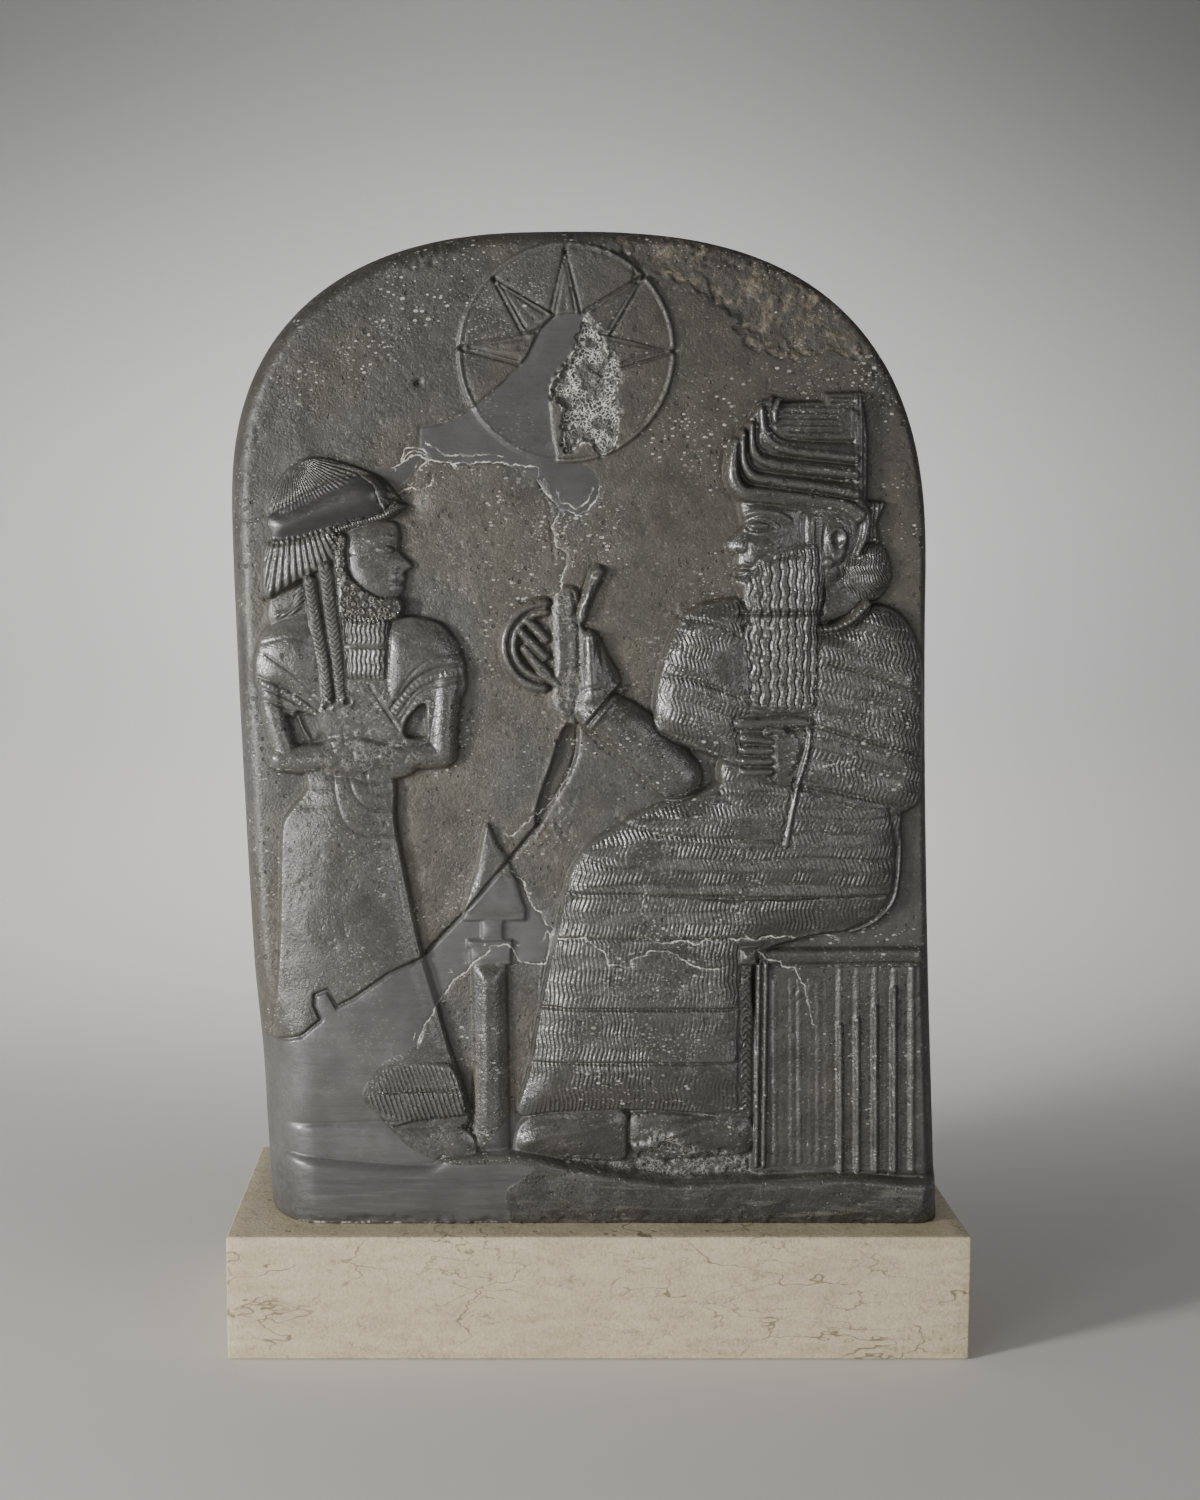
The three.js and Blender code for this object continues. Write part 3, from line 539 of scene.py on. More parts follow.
def carve_offering(relief):
    """The ring held in the raised hand, and the hand itself."""
    at = (-33.0, 371.0)
    relief.form(oval(at, 21, 21), 1.2, edge=3, drop=0.2, wall=2)
    for radius, width, high in ((26.6, 3.3, 7.4), (20.8, 2.8, 6.2)):
        relief.limb(arc(at, radius, 92, 266, 30), [width], high, 0.8, moat=0.4)
    for finger in ([(-46, 387), (-40, 382), (-34, 375)], [(-48.5, 379), (-42, 372), (-34, 364)],
                   [(-47, 369), (-41, 362), (-32, 353)], [(-41, 361), (-34, 353), (-24, 345)]):
        relief.limb(finger, [3.0, 3.5, 3.3], 6.6, 1.5, moat=0.5)
    relief.form([(-28, 405), (-15, 407), (-12, 389), (-10, 372), (-12, 324), (-19, 320), (-30, 333),
                 (-29, 353)],
                5.6, edge=6, drop=0.5, wall=3.0, moat=0.2)
    relief.line([(-25, 400), (-24, 372), (-26, 342)], 2.6, 0.7)
    relief.line([(-19, 402), (-17, 372), (-19, 330)], 2.0, 0.5)
    relief.limb([(-12, 388), (-9, 398), (-5, 408), (-1, 417)], [4.0, 3.4, 3.6, 4.6], 6.8, 1, moat=1.2)
    relief.line([(-8.5, 397), (-6.5, 406), (-5, 416)], 2.4, 1.3, chalk=0.55)
    relief.line([(-6, 416.5), (-1, 418), (4, 416.5)], 2.0, 1.0, chalk=0.4)
    relief.line([(-17, 404), (-13.5, 388), (-12.5, 362), (-11, 340), (-11, 322)], 1.5, -2.0, soil=0.9)
    relief.form([(-13, 388), (-9, 381), (0, 377), (5, 366), (13, 349), (-6, 322), (-14, 334), (-13, 362)],
                8.6, edge=9, drop=0.65, wall=2.0, moat=0.9)
    relief.limb([(-6, 376), (-5, 360), (-4, 340)], [4.6, 5.2, 5], 9.6, 3)
    relief.line([(1, 376), (1.5, 362), (6, 346)], 1.8, -1.0, soil=0.3)
    relief.line([(-10, 374), (-10.5, 358), (-10, 338)], 1.8, -1.0, soil=0.4)
    relief.limb([(-2, 331), (16, 320), (36, 302), (50, 288)], [14, 16.5, 17, 16], 10.4, 0.2, moat=0.9)
    relief.line([(-8, 316), (8, 301), (22, 288), (36, 277)], 1.6, -0.9, soil=0.4)
    for shift in (-2.0, 2.0):
        band = [(15 + shift * 0.9, 346 - shift), (3 + shift * 0.8, 334 - shift), (-8 + shift, 320 - shift)]
        relief.line(band, 2.6, 1.6)
        relief.beads(band, 3.0, 3.0, 1.3)
    relief.line([(13.5, 346), (3, 334), (-7, 321)], 1.6, -1.4, soil=0.8)


def carve_headdress(relief):
    """The cap with its rows of horns: each horn swells down to a crest that overhangs the next."""
    cap = [(86, 461), (81, 468), (79, 478), (80.5, 492), (86, 503), (92, 511), (97, 520), (103, 523),
           (107, 526),
           (108, 521), (138, 522), (139, 527), (162, 528), (166, 500), (166, 461), (164, 447), (160, 449),
           (144, 453),
           (122, 456), (101, 460)]
    relief.form(cap, 8.6, edge=6, drop=0.35, wall=1.8, sharp=True, moat=0.9)
    horns = [([(99, 518), (99.8, 508.7), (101.7, 502.3), (106.2, 495.9), (117.7, 491.8), (139.5, 488.8),
               (158, 486.7)],
              11.2, 3.0),
             ([(93, 508), (93.8, 494.7), (95.9, 488.9), (101.1, 485.1), (113.9, 482.1), (139.5, 479),
               (158, 476.5)], 11.8, 3.2),
             ([(88, 503), (88, 488.3), (90.2, 480.6), (94.7, 475.5), (107.5, 472.9), (139.5, 468.4),
               (159, 464.6)], 12.4, 3.4),
             ([(84, 497), (82, 488), (82.5, 474), (88, 466.5), (101, 464.5), (126, 461.5), (150, 458),
               (161, 452)],
              12.8, 5.0)]
    for path, level, width in horns:
        relief.limb(path, [width * 0.55, width * 0.85, width, width, width, width], level, 7.2)
        above = [(u + 2.6 + 0.8 * (u < 96), v + 3.6 * min(1.0, max(0.0, (u - 86) / 14))) for u, v in path]
        relief.line(above, 5.0, 0.9)
    for valley in ([(103, 519), (105.2, 506.2), (112.6, 499.8), (132, 497.5), (156, 497)],
                   [(96.6, 512), (97.8, 494.7), (103.5, 490), (116.5, 487.6), (139.5, 485), (158, 483)],
                   [(90.8, 507), (91.4, 487), (95.7, 480.6), (104, 478.3), (122, 476.2), (158, 472)],
                   [(85.4, 495), (86.6, 480.6), (92.1, 472.2), (104.9, 469.3), (139.5, 464.5),
                    (159, 460.6)]):
        relief.line(valley, 2.3, -2.4, soil=0.6)
    relief.limb([(161, 459), (165, 452), (164.5, 440), (160, 428)], [3.4, 3.4, 3, 2], 10.6, 6)
    relief.limb([(110, 522.5), (107.6, 516), (107.6, 509.5)], [1.6, 2.2, 1.8], 11.0, 7, moat=1.2)
    for v, left, right in ((524.5, 141, 156), (522, 143, 156), (519, 112, 156), (515.5, 112, 146),
                           (512, 110, 146),
                           (508, 112, 147), (504, 116, 148)):
        relief.line([(left, v), (right, v - 0.4)], 1.5, -1.1, soil=0.4)
    for u in (117.7, 120.6, 123.6, 126.6):
        relief.line([(u, 512), (u + 0.4, 503)], 1.2, -0.8)
    for u in (156.5, 159.5, 162.5):
        relief.line([(u, 527), (u + 1, 464)], 1.4, -1.0, soil=0.3)
    relief.line([(89, 460.5), (101, 460.5), (122, 456.8), (147, 452.6)], 1.5, 0.9)


def carve_seated(relief, worn):
    """The seated figure, from the hem up to the headdress."""
    robe = [(84, 288), (62, 277), (37, 270), (21, 263), (9, 255), (-4, 247), (-13, 236), (-19, 223),
            (-22, 209),
            (-26, 190), (-30, 172), (-35, 148), (-39, 126), (-44, 98), (-50, 70), (-30, 71), (20, 73),
            (62, 71),
            (100, 69), (101, 120), (102, 172), (140, 187), (160, 190), (178, 198), (186, 209), (190, 230),
            (188, 256),
            (186, 290)]
    relief.form(robe, 11.6, edge=26, drop=0.55, wall=2.4, moat=0.9)
    lap = [(82, 286), (61, 276), (37, 269), (21, 262), (9, 254), (-3, 246), (-12, 235), (-18, 222),
           (-22, 208), (20, 208),
           (90, 209), (184, 214), (189, 236), (186, 286)]
    relief.form(lap, 12.4, edge=20, drop=0.5, wall=2.5)
    chest = [(92, 400), (76, 399), (60, 395), (51, 388), (44, 375), (38, 356), (35, 334), (36, 320),
             (43, 313),
             (59, 306), (78, 299), (84, 297), (78, 290), (77, 278), (110, 266), (187, 264), (202, 272),
             (204, 300),
             (204, 340), (201, 366), (194, 384), (183, 394), (169, 396), (157, 386), (136, 384)]
    relief.form(chest, 11.8, edge=16, drop=0.55, wall=2.2, moat=1.0)
    relief.form([(78, 300), (79, 280), (100, 276), (160, 270), (186, 266), (188, 280), (140, 288),
                 (120, 300)],
                11.2, edge=10, drop=0.3, wall=2)
    sleeve = [(90, 399), (76, 398), (60, 394), (51, 387), (44, 374), (38, 355), (36, 334), (37, 321),
              (44, 314),
              (60, 307), (92, 298), (94, 340)]
    relief.form(sleeve, 12.4, edge=13, drop=0.55, wall=1.6)
    # Neck, necklace and the cloth's upper edge.
    relief.form([(140, 424), (160, 412), (168, 398), (150, 388), (136, 382), (134, 400)], 6.6, edge=9,
                drop=0.3, wall=1.6)
    necklace = [(138, 381), (148, 382.5), (158, 388), (167, 397)]
    relief.limb(necklace, [2.4, 2.6, 2.4], 12.2, 8, moat=1.0)
    relief.beads(necklace, 3.6, 3.2, 1.8)

    def tier(hem, depth, fall=30.0, soil=0.7):
        """Cloth that thickens down to a hem and steps back under it."""
        path = soften(hem, closed=False)
        where, gap, _, across = relief.distance(path, closed=False, margin=fall)
        U = relief.U[where]
        ends = smoothstep(0.0, 3.0, U - path[:, 0].min()) * smoothstep(0.0, 3.0, path[:, 0].max() - U)
        swell = 0.5 * np.clip(1 - gap / fall, 0, 1) ** 2
        step = -(np.clip(1 - gap / 2.4, 0, 1) ** 1.2)
        relief.height[where] += depth * ends * np.where(across < 0, swell, step)
        # Dark under the hem's step: painted shade beneath the overhang, with some dirt.
        relief.soil[where] = np.maximum(relief.soil[where], soil * ends
                                        * np.exp(-(((gap - 0.4) / 1.3) ** 2)))

    tier([(-38, 141.5), (20, 140.5), (90, 141)], 2.8)
    tier([(-43, 106), (20, 105.5), (90, 106)], 2.8)
    tier([(-27, 186), (40, 185), (110, 187)], 1.2, soil=0.4)
    tier([(-21, 215), (60, 213.5), (130, 213), (187, 213.5)], 1.5)
    tier([(10, 262), (40, 253), (84, 250), (120, 248)], 1.4, fall=14, soil=0.4)
    tier([(-12, 240), (6, 232), (30, 232)], 1.0, fall=10, soil=0.3)
    tier([(128, 239), (150, 238), (187, 236)], 1.2, fall=14, soil=0.5)
    tier([(48, 390), (70, 386), (90, 377)], 2.0, fall=20, soil=0.6)
    tier([(39, 353.5), (62, 349.5), (90, 339)], 1.6, fall=20, soil=0.6)
    tier([(140, 362), (170, 353), (204, 340)], 1.5, fall=20, soil=0.7)
    tier([(131, 323), (165, 313), (204, 303)], 2.0, fall=20, soil=0.8)
    tier([(36, 318), (58, 307), (90, 297)], 1.6, fall=16, soil=0.7)
    tier([(123, 285), (150, 280), (180, 273), (203, 268)], 1.7, fall=16, soil=0.8)

    jitter = 0.5 * relief.noise(14.0, 21)
    sway = 0.7 * relief.noise(24.0, 22)

    def tufts(region, period, row, swing, depth, slope=0.0, centre=0.0, blend=1.6, shown=0.9):
        line = soften(region)
        where, inside, _, _ = relief.distance(line, margin=4.0)
        mask = smoothstep(0.0, blend, inside) * worn[where] * shown
        U, V = relief.U[where], relief.V[where] + slope * (relief.U[where] - centre) + sway[where]
        relief.comb(where, mask, (U + jitter[where]) / period, 0.0, row=V / (2 * row), swing=swing / period)
        relief.height[where] -= depth * mask * ((V / row + 0.5) % 1.0)

    below_lap = [(-20, 212), (90, 211), (184, 211), (176, 200), (158, 193), (99, 188), (-24, 188)]
    tufts([(80, 297), (78, 281), *lap[1:12], (188, 266), (160, 271), (123, 282), (106, 284), (92, 296)],
          2.9, 8.3, 1.3, 0.4)
    tufts(below_lap, 2.7, 8.3, 0.9, 0.35)
    for region in ([(-27, 183), (88, 184), (89, 144), (-35, 144)],
                   [(-36, 138), (89, 138), (89, 109), (-42, 109)],
                   [(-43, 103), (89, 103), (89, 73), (-49, 73)]):
        tufts(region, 2.7, 8.5, 0.65, 0.22, shown=0.8)
    tufts(sleeve, 2.8, 7.2, 1.1, 0.5, slope=0.28, centre=60)
    tufts([(138, 379), (152, 381), (170, 393), (183, 392), (194, 382), (201, 365), (203, 345), (203, 272),
           (186, 270),
           (122, 284), (128, 300), (132, 322), (134, 350)], 2.8, 7.2, 1.1, 0.45, slope=0.24, centre=170)
    relief.line([(183, 268), (188, 248), (188, 227), (184, 209), (175, 198), (160, 191)], 2.2, -1.4,
                soil=0.7)
    relief.form([(187, 268), (192, 250), (192, 227), (188, 207), (176, 194), (160, 188), (176, 197),
                 (186, 209), (189, 228),
                 (189, 250)], 7.0, edge=3, drop=0.4, wall=1.6)
    # The edge of the cloth that falls beside the seat.
    relief.line([(90.5, 176), (90.5, 71)], 1.6, -1.2, sharp=True, soil=0.5)
    relief.line([(99, 176), (100, 71)], 1.8, -1.4, sharp=True, soil=0.6)
    where, mask = relief.within([(91.5, 172), (98.5, 172), (99, 72), (91.5, 72)], 0.8, sharp=True)
    U, V = relief.U[where], relief.V[where]
    relief.comb(where, 0.8 * mask, (V + 1.1 * np.abs(U - 95)) / 4.6, 0.8)
    relief.form([(89, 180), (101, 180), (101, 168), (89, 168)], 11.6, edge=3, drop=0.3, wall=1.4,
                sharp=True, moat=0.5)
    relief.form([(92, 177), (98, 177), (98, 171), (92, 171)], 12.4, edge=2, drop=0.3, wall=1.2, sharp=True,
                moat=0.9)

    # Feet under the hem.
    relief.form([(-53, 46), (-51, 60), (-44, 68), (-28, 71), (18, 71), (19, 41), (-10, 40), (-34, 41)], 8.6,
                edge=16,
                drop=0.6, wall=2.2, moat=0.9, tilt=(-0.03, 0.05))
    relief.form([(22, 68), (62, 69), (98, 68), (99, 46), (82, 42), (60, 40), (40, 40), (23, 46)], 8.0,
                edge=14,
                drop=0.6, wall=2.2, moat=0.9, tilt=(0.03, 0.05))
    relief.line([(-46, 52), (-28, 58), (-8, 60), (8, 66)], 5, 1.2)
    relief.line([(-48, 60), (-36, 66), (-20, 68)], 3, -0.9, soil=0.4)
    relief.line([(26, 48), (44, 54), (64, 64), (84, 67)], 5, 1.7)
    relief.line([(30, 60), (46, 66), (66, 68)], 3.5, -1.0, soil=0.5)
    relief.line([(20.5, 69), (20.5, 42)], 2.0, -2.2, soil=0.8)

    # Head and beard.
    relief.form([(88, 462), (88, 453.5), (89.5, 446), (84.5, 440), (79, 434), (80, 430.5), (86, 427.5),
                 (85, 422),
                 (87, 419.3), (85.3, 416), (88.5, 410.5), (88, 404), (100, 402), (141, 402), (152, 410),
                 (162, 430), (166, 446),
                 (164, 462)], 10.2, edge=15, drop=0.55, wall=1.8, moat=0.9)
    relief.swell((106, 432), (11, 9), 1.2)
    relief.swell((88.5, 439), (4, 8), 1.0)
    relief.swell((99, 445.5), (9.5, 4.6), -1.7)
    relief.form(oval((99.5, 445.5), 7.6, 3.4), 11.2, edge=3.4, drop=0.3, wall=1.0, over=1.2)
    relief.line([(89.5, 444), (94, 448.4), (100, 449.8), (106, 448.2), (111, 444.5)], 1.6, 1.7)
    relief.line([(90, 443.3), (95, 441.4), (101, 440.8), (108, 442.8)], 1.5, 1.3)
    relief.line([(91, 444.3), (95, 447.2), (100, 448.3), (105, 446.9), (108.5, 444.4)], 1.0, -0.9, soil=0.5)
    relief.line([(89.5, 451.5), (96, 454), (104, 454.2), (112, 452), (118, 448.5)], 2.8, 1.4)
    relief.line([(91.5, 434), (92, 430), (89, 427.8), (86.5, 429)], 1.5, -1.3, soil=0.3)
    relief.swell((88, 431.8), (3.2, 3.0), 1.0)
    relief.line([(86, 419), (90, 419.5), (96, 418.6)], 1.5, -1.5, soil=0.4)
    relief.line([(86, 421.6), (90, 422.3), (95, 420.9)], 2.0, 0.9)
    relief.line([(86.5, 416.3), (90, 415.9), (94.5, 416.8)], 2.2, 1.0)
    relief.line([(89, 411.6), (92, 411.4), (95, 412.4)], 1.6, -0.7)
    ear = (147.0, 436.0)
    relief.form(oval(ear, 8, 15), 11.8, edge=5, drop=0.4, wall=1.5, moat=1.2)
    relief.form(oval((142, 423), 4.6, 4.2), 12.0, edge=3, drop=0.35, wall=1.2)
    relief.swell((147, 437), (3.0, 7), -3.4)
    relief.line(arc((147, 438), 5.4, -60, 210, 20), 1.8, 1.4, sharp=True)
    beard = [(84.5, 413), (91, 415), (96, 421.5), (104, 427.5), (114, 430), (123, 434), (124.5, 453),
             (137, 455), (138, 430),
             (140, 406), (138, 388), (136, 362), (134, 332), (98, 332), (94, 336), (92, 362), (90, 392),
             (88, 404)]
    relief.form(beard, 12.4, edge=9, drop=0.35, wall=1.6, moat=1.3)

    def locks(U, V):
        across = np.clip((U - 88) / 50, -0.1, 1.05)
        sway = (1.0 - 0.4 * across) * np.sin(2 * math.pi * (V + 5 * across + 2.5 * np.sin(U / 4.0)) / 12.4)
        return (U - 88 + sway) / (6.9 - 1.6 * across)

    for u in (127, 130.3, 133.6):
        relief.line([(u, 453), (u + 0.4, 434)], 1.4, -1.1, soil=0.3)
    relief.grooved([(90.5, 388), (139, 389), (136.5, 362), (134.5, 334), (97, 334), (94, 338), (92, 362)],
                   locks, 1.2, 0.55,
                   blend=0.9, fine=2)
    relief.grooved([(88, 408), (92, 413), (97, 420), (104, 426), (114, 429), (125, 431), (137, 431),
                    (138, 426), (140, 394),
                    (90, 394)], locks, 1.1, 0.6, blend=0.9, fine=2)
    relief.line([(88, 391), (139, 391.5)], 2.6, -1.7, soil=0.6)
    for v in np.arange(341, 386, 6.2):
        relief.line([(93, v), (137, v)], 1.3, -0.45)
    relief.line([(97, 333.6), (135, 333.6)], 2.4, 0.9)
    # Rolled hair behind the neck, and its tie.
    bun = [(150, 420), (157, 428), (166, 435), (175, 435), (181, 424), (182, 412), (176, 402), (168, 398),
           (160, 401),
           (152, 410)]
    relief.form(bun, 9.6, edge=12, drop=0.65, wall=1.6, moat=1.0)
    relief.grooved(bun, lambda U, V: (np.hypot(U - 192, V - 424) + 0.6 * np.sin(V / 1.6)) / 3.3, 0.7,
                   blend=1.2, fine=2)
    tie = [(165, 461), (178, 460), (172, 446), (175, 434), (163, 434), (165, 446)]
    relief.form(tie, 7.0, edge=3, drop=0.3, wall=1.2, sharp=True, moat=0.8)
    relief.grooved(tie, lambda U, V: (U - 168) * (1 - 0.018 * (V - 446)) / 2.5, 1.3, sharp=True, blend=0.6)
    relief.line([(164, 446), (172, 446)], 1.8, 1.0)
    relief.line([(163, 437), (174, 437)], 1.8, 1.0)

    carve_headdress(relief)

    # The hand at the waist and its staff.
    relief.swell((108, 303), (24, 20), -1.9)
    palm = [(106, 321), (120, 323), (129, 318), (131.5, 308), (128, 294), (121, 285), (113, 285),
            (107, 291)]
    relief.form([(90, 322), (106, 322), (108, 286), (98, 288), (91, 294), (89, 306)], 11.6, edge=5,
                drop=0.4, wall=1.6,
                moat=1.2)
    relief.form(palm, 12.8, edge=9, drop=0.5, wall=1.8, moat=2.0)
    for v, slope in ((313, -2.4), (305.5, 0.0), (298.8, 0.0), (292, 0.4)):
        relief.limb([(91, v), (99, v + 0.2 * slope), (107.5, v + slope)], [3.2, 3.4, 3.1], 13.0, 8.5)
    for v in (309.3, 302.1, 295.3):
        relief.line([(90, v), (108, v - 0.6)], 1.6, -2.2, soil=0.9)
    relief.limb([(88.5, 322.5), (102, 322.5), (118, 323.5), (131, 323.5)], [4.4, 4.9, 4.8, 3.6], 13.4, 8,
                moat=1.5)
    relief.line([(89, 325.5), (104, 326), (130, 326.5)], 1.4, -0.8)
    relief.limb([(105, 317), (110, 318.5), (116, 317.5)], [2.2, 2.6, 2.0], 13.6, 10, moat=0.8)
    relief.limb([(132, 318), (131, 306), (127, 291), (124.5, 283)], [1.8, 1.8, 1.9, 2.4], 13.2, 8, moat=1.2)
    relief.limb([(124.5, 283), (121.5, 266), (118, 246)], [1.7, 1.8, 2.8], 13.4, 9, moat=1.0)
    relief.line([(123.5, 280), (121, 266), (117.5, 247)], 1.2, 0.3, chalk=0.55)


def carve_seat(relief):
    """The ribbed seat."""
    relief.form([(100, 30), (213, 29), (206, 178), (101, 177)], 4.4, edge=3, drop=0.3, wall=2.2, sharp=True,
                moat=0.6)
    relief.form([(101, 168), (207, 169), (206, 178), (101, 177)], 6.4, edge=3, drop=0.3, wall=1.8,
                sharp=True)
    relief.line([(102, 166.5), (206, 167.5)], 1.8, -1.2, soil=0.4)
    for u in (102.5, 107):
        relief.limb([(u, 168), (u, 36)], [1.9], 7.4, 3.4, moat=0.4)
    for u, amount in ((114, 0.8), (119, 0.3), (125, 0.7), (130, 0.9), (137, 0.4), (142, 0.7), (147.5, 0.5)):
        relief.line([(u - 1.5, 158), (u - 0.5, 100), (u + 0.8, 38)], 2.4, amount, sharp=True)
        relief.line([(u - 3.9, 158), (u - 2.9, 100), (u - 1.6, 38)], 1.8, -0.3 * amount, sharp=True,
                    soil=0.2)
    for u, amount, top in ((157, 3.6, 128), (168, 3.3, 132), (179.5, 3.9, 140), (191.5, 4.2, 152),
                           (203, 2.2, 166)):
        relief.line([(u - 2.6 * (top - 31) / 137, top), (u, 33)], 3.2, amount * 0.75, sharp=True, chalk=0.2)
        relief.line([(u - 2.5, 166), (u - 2, top)], 2.6, amount * 0.3, sharp=True)
        relief.line([(u - 3.4 - 2.5, 160), (u - 3.4, 35)], 2.2, -0.6, sharp=True, soil=0.5)


def carve_ground(relief):
    """The band that the figures stand on, with its worn upper edge."""
    band = [(-240, 47), (-214, 46), (-197, 45), (-167, 41.5), (-124, 38.5), (-106, 38.5), (-98, 43),
            (-80, 45), (-60, 46),
            (-36, 43), (-16, 37), (19, 31), (51, 27), (86, 28), (161, 31), (206, 27), (240, 29), (240, -20),
            (-240, -20)]
    relief.form(band, FACE_DEPTH, edge=7, drop=0.12, wall=6.0)


def wandered(points, amount=0.9, spacing=3.0):
    """A line whose points are pushed about a little, as a crack's are."""
    line = soften(points, False, spacing)
    push = np.random.default_rng(len(line)).normal(0.0, amount, line.shape)
    return line + push + 0.6 * np.roll(push, 1, axis=0)


def damage(relief):
    """Cracks, losses, flaking, the wear of the ground band, and the joints of the repairs."""
    crystal = 0.6 * relief.facets(5.5, 31) + 0.35 * relief.facets(2.4, 32)
    relief.broken = np.zeros(relief.U.shape)
    ragged = 1.3 * relief.noise(2.4, 33)
    for points, floor, rough, shown in ((DISC_BREAK, -2.2, 0.9, 1.0), (HANDS_BREAK, None, 0.8, 0.2),
                                        (RUBBLE, None, 1.3, 0.35),
                                        (HAND_BREAK, None, 0.65, 0.28)):
        line = soften(points, spacing=2)
        where, inside, _, _ = relief.distance(line, margin=6)
        mask = smoothstep(-0.6, 1.6, inside + ragged[where])
        if floor is not None:
            relief.height[where] += mask * (floor - relief.height[where])
        relief.height[where] += mask * rough * (crystal[where] - 0.4)
        relief.broken[where] = np.maximum(relief.broken[where], shown * mask)
        relief.combed[where] *= 1 - mask
    where, inside, _, _ = relief.distance(soften(RIM_FLAKE), margin=EDGE_REACH)
    ragged_edge = inside + 2.2 * relief.noise(6.0, 34)[where]
    relief.height[where] -= 1.5 * smoothstep(-0.5, 0.9, ragged_edge) + 0.9 * smoothstep(4.0, 5.6,
                                                                ragged_edge)
    relief.height[where] += 0.22 * smoothstep(0, 2, ragged_edge) * relief.noise(4.0, 37)[where]
    relief.joint([*DISC_BREAK, DISC_BREAK[0]], 0.8)
    relief.flake = np.full(relief.U.shape, -EDGE_REACH)
    relief.flake[where] = np.clip(ragged_edge, -EDGE_REACH, EDGE_REACH)
    where, mask = relief.within(BAND_WEAR, 4.0)
    relief.height[where] += mask * (0.1 * relief.noise(6.0, 38)[where] + 0.25 * relief.noise(13.0,
                                                                35)[where] - 0.2)

    # Dark joints of the repairs and the break across the stone.
    main = [(-216, 117), *LOWER_FILL[1:13], (-50, 242), (-38, 257)]
    for path, width, depth, soil in (
            (main, 2.0, 3.0, 1.0), ([(-38, 256), (-29, 271), (-19, 288), (-14, 303), (-13, 321)], 1.8, 2.0,
                                    0.8),
            (SKY_FILL[:7], 1.5, 0.9, 0.5),
            ([(-236, 453), (-219, 448), (-211, 450), (-204, 454), *CAP_BAND[1:5]], 1.5, 1.1, 0.6),
            ([(-28, 425), (-31, 446), (-30, 455), (-38, 473)], 1.5, 0.9, 0.3),
                                     ([(-112, 507), (-113, 491)], 1.3, 0.7, 0.3),
            ([(-55, 229), *LOWER_FILL[13:16]], 1.4, 0.6, 0.4),
            ([(-199, 45), (-167, 41.5), (-124, 38), (-106, 38), (-98, 44)], 1.5, 1.2, 0.9),
            ([(-206, 64), (-191, 64), (-143, 65.4), (-126, 66.6)], 1.3, 0.8, 0.8),
            ([(101, 175), (116, 169), (130, 157), (123, 144), (116, 147)], 1.3, 0.6, 0.2)):
        relief.line(path, width, -depth, sharp=True, soil=soil)
    for path, depth in (([(-114, 117), (-107, 133), (-100, 146), (-81, 165), (-60, 181), (-48, 169),
                          (-33, 170), (-30, 184)], 0.6),
                        ([(-127, 482), (-112, 491), (-98, 484), (-57, 484), (-40, 480)], 0.5),
                        ([(-55, 229), *LOWER_FILL[13:16], (-6, 184), (0, 180), (9, 169), (20, 168),
                          (27, 175),
                          (48, 176), (61, 167), (80, 167)], 0.6),
                        ([(101, 175), (116, 169), (130, 157), (137, 130)], 0.4),
                        ([(150, 186), (110, 186), (70, 184), (30, 186)], 0.3),
                        ([(-38, 473), (-26, 455), (-28, 440), (-21, 424), (-24, 405)], 0.9),
                        ([(-25, 455), (-6, 454), (0, 469)], 0.6),
                        ([(-148, 478), (-138, 466), (-133, 455)], 0.6),
                        ([(-122, 486), (-118, 494), (-108, 488), (-112, 480)], 0.7),
                        ([(-126, 462), (-118, 470), (-108, 466), (-104, 474)], 0.6),
                        ([(-60, 250), (-40, 262), (-24, 276), (-14, 300)], 0.5)):
        relief.line(wandered(path), 1.3, -depth)
        relief.joint(wandered(path))
    relief.line(arc(DISC_AT, DISC_RADIUS - 1.5, 184, 262, 40), 1.5, 0.6, sharp=True, chalk=0.45)
    where, mask = relief.within([(-20, 322), (-13, 320), (-13, 302), (-18, 288), (-29, 270), (-39, 255),
                                 (-40, 266), (-32, 292)], 2.0)
    relief.height[where] -= mask * 4.2
    # Painted shade darkens the deep cut of the break, with dirt in it.
    relief.soil[where] = np.maximum(relief.soil[where], 0.8 * mask)
    relief.line([(-21, 322), (-31, 293), (-40, 266)], 2.4, 1.5, chalk=0.3)
    where, mask = relief.within([(-31, 266), (-10, 277), (-13, 259), (-25, 240), (-47, 241)], 3.0)
    relief.height[where] += mask * 0.6 * relief.facets(3.8, 36)[where]
    relief.swell((-113, 534), (2.0, 2.0), -3.6)


def pitted(relief, whole):
    """Pits that crowd together in places, as hard stone loses its softer grains."""
    pits = np.zeros(relief.U.shape)
    clusters = relief.noise(15.0, 58)
    picker = np.random.default_rng(52)
    for _ in range(PITS):
        u, v, chance = picker.uniform(-232, 220), picker.uniform(4, 626), picker.uniform(-0.4, 2.4)
        size, squash, deep = picker.uniform(0.7, 1.5), picker.uniform(0.5, 1.1), picker.uniform(0.4, 1.0)
        row, column = np.searchsorted(relief.v, v) - 1, np.searchsorted(relief.u, u) - 1
        if clusters[row, column] < chance:
            continue
        where = relief.window(np.array([(u, v)]), 4)
        dent = np.exp(-(((relief.U[where] - u) / size) ** 2)
                      - ((relief.V[where] - v) / (size * squash)) ** 2)
        pits[where] = np.maximum(pits[where], dent * deep)
    relief.height -= pits * whole * 1.1
    relief.height += relief.coarse * whole * (0.3 * relief.noise(2.4, 59) - 0.5 * smoothstep(0.9, 1.6,
                                                                relief.noise(3.2, 60)))


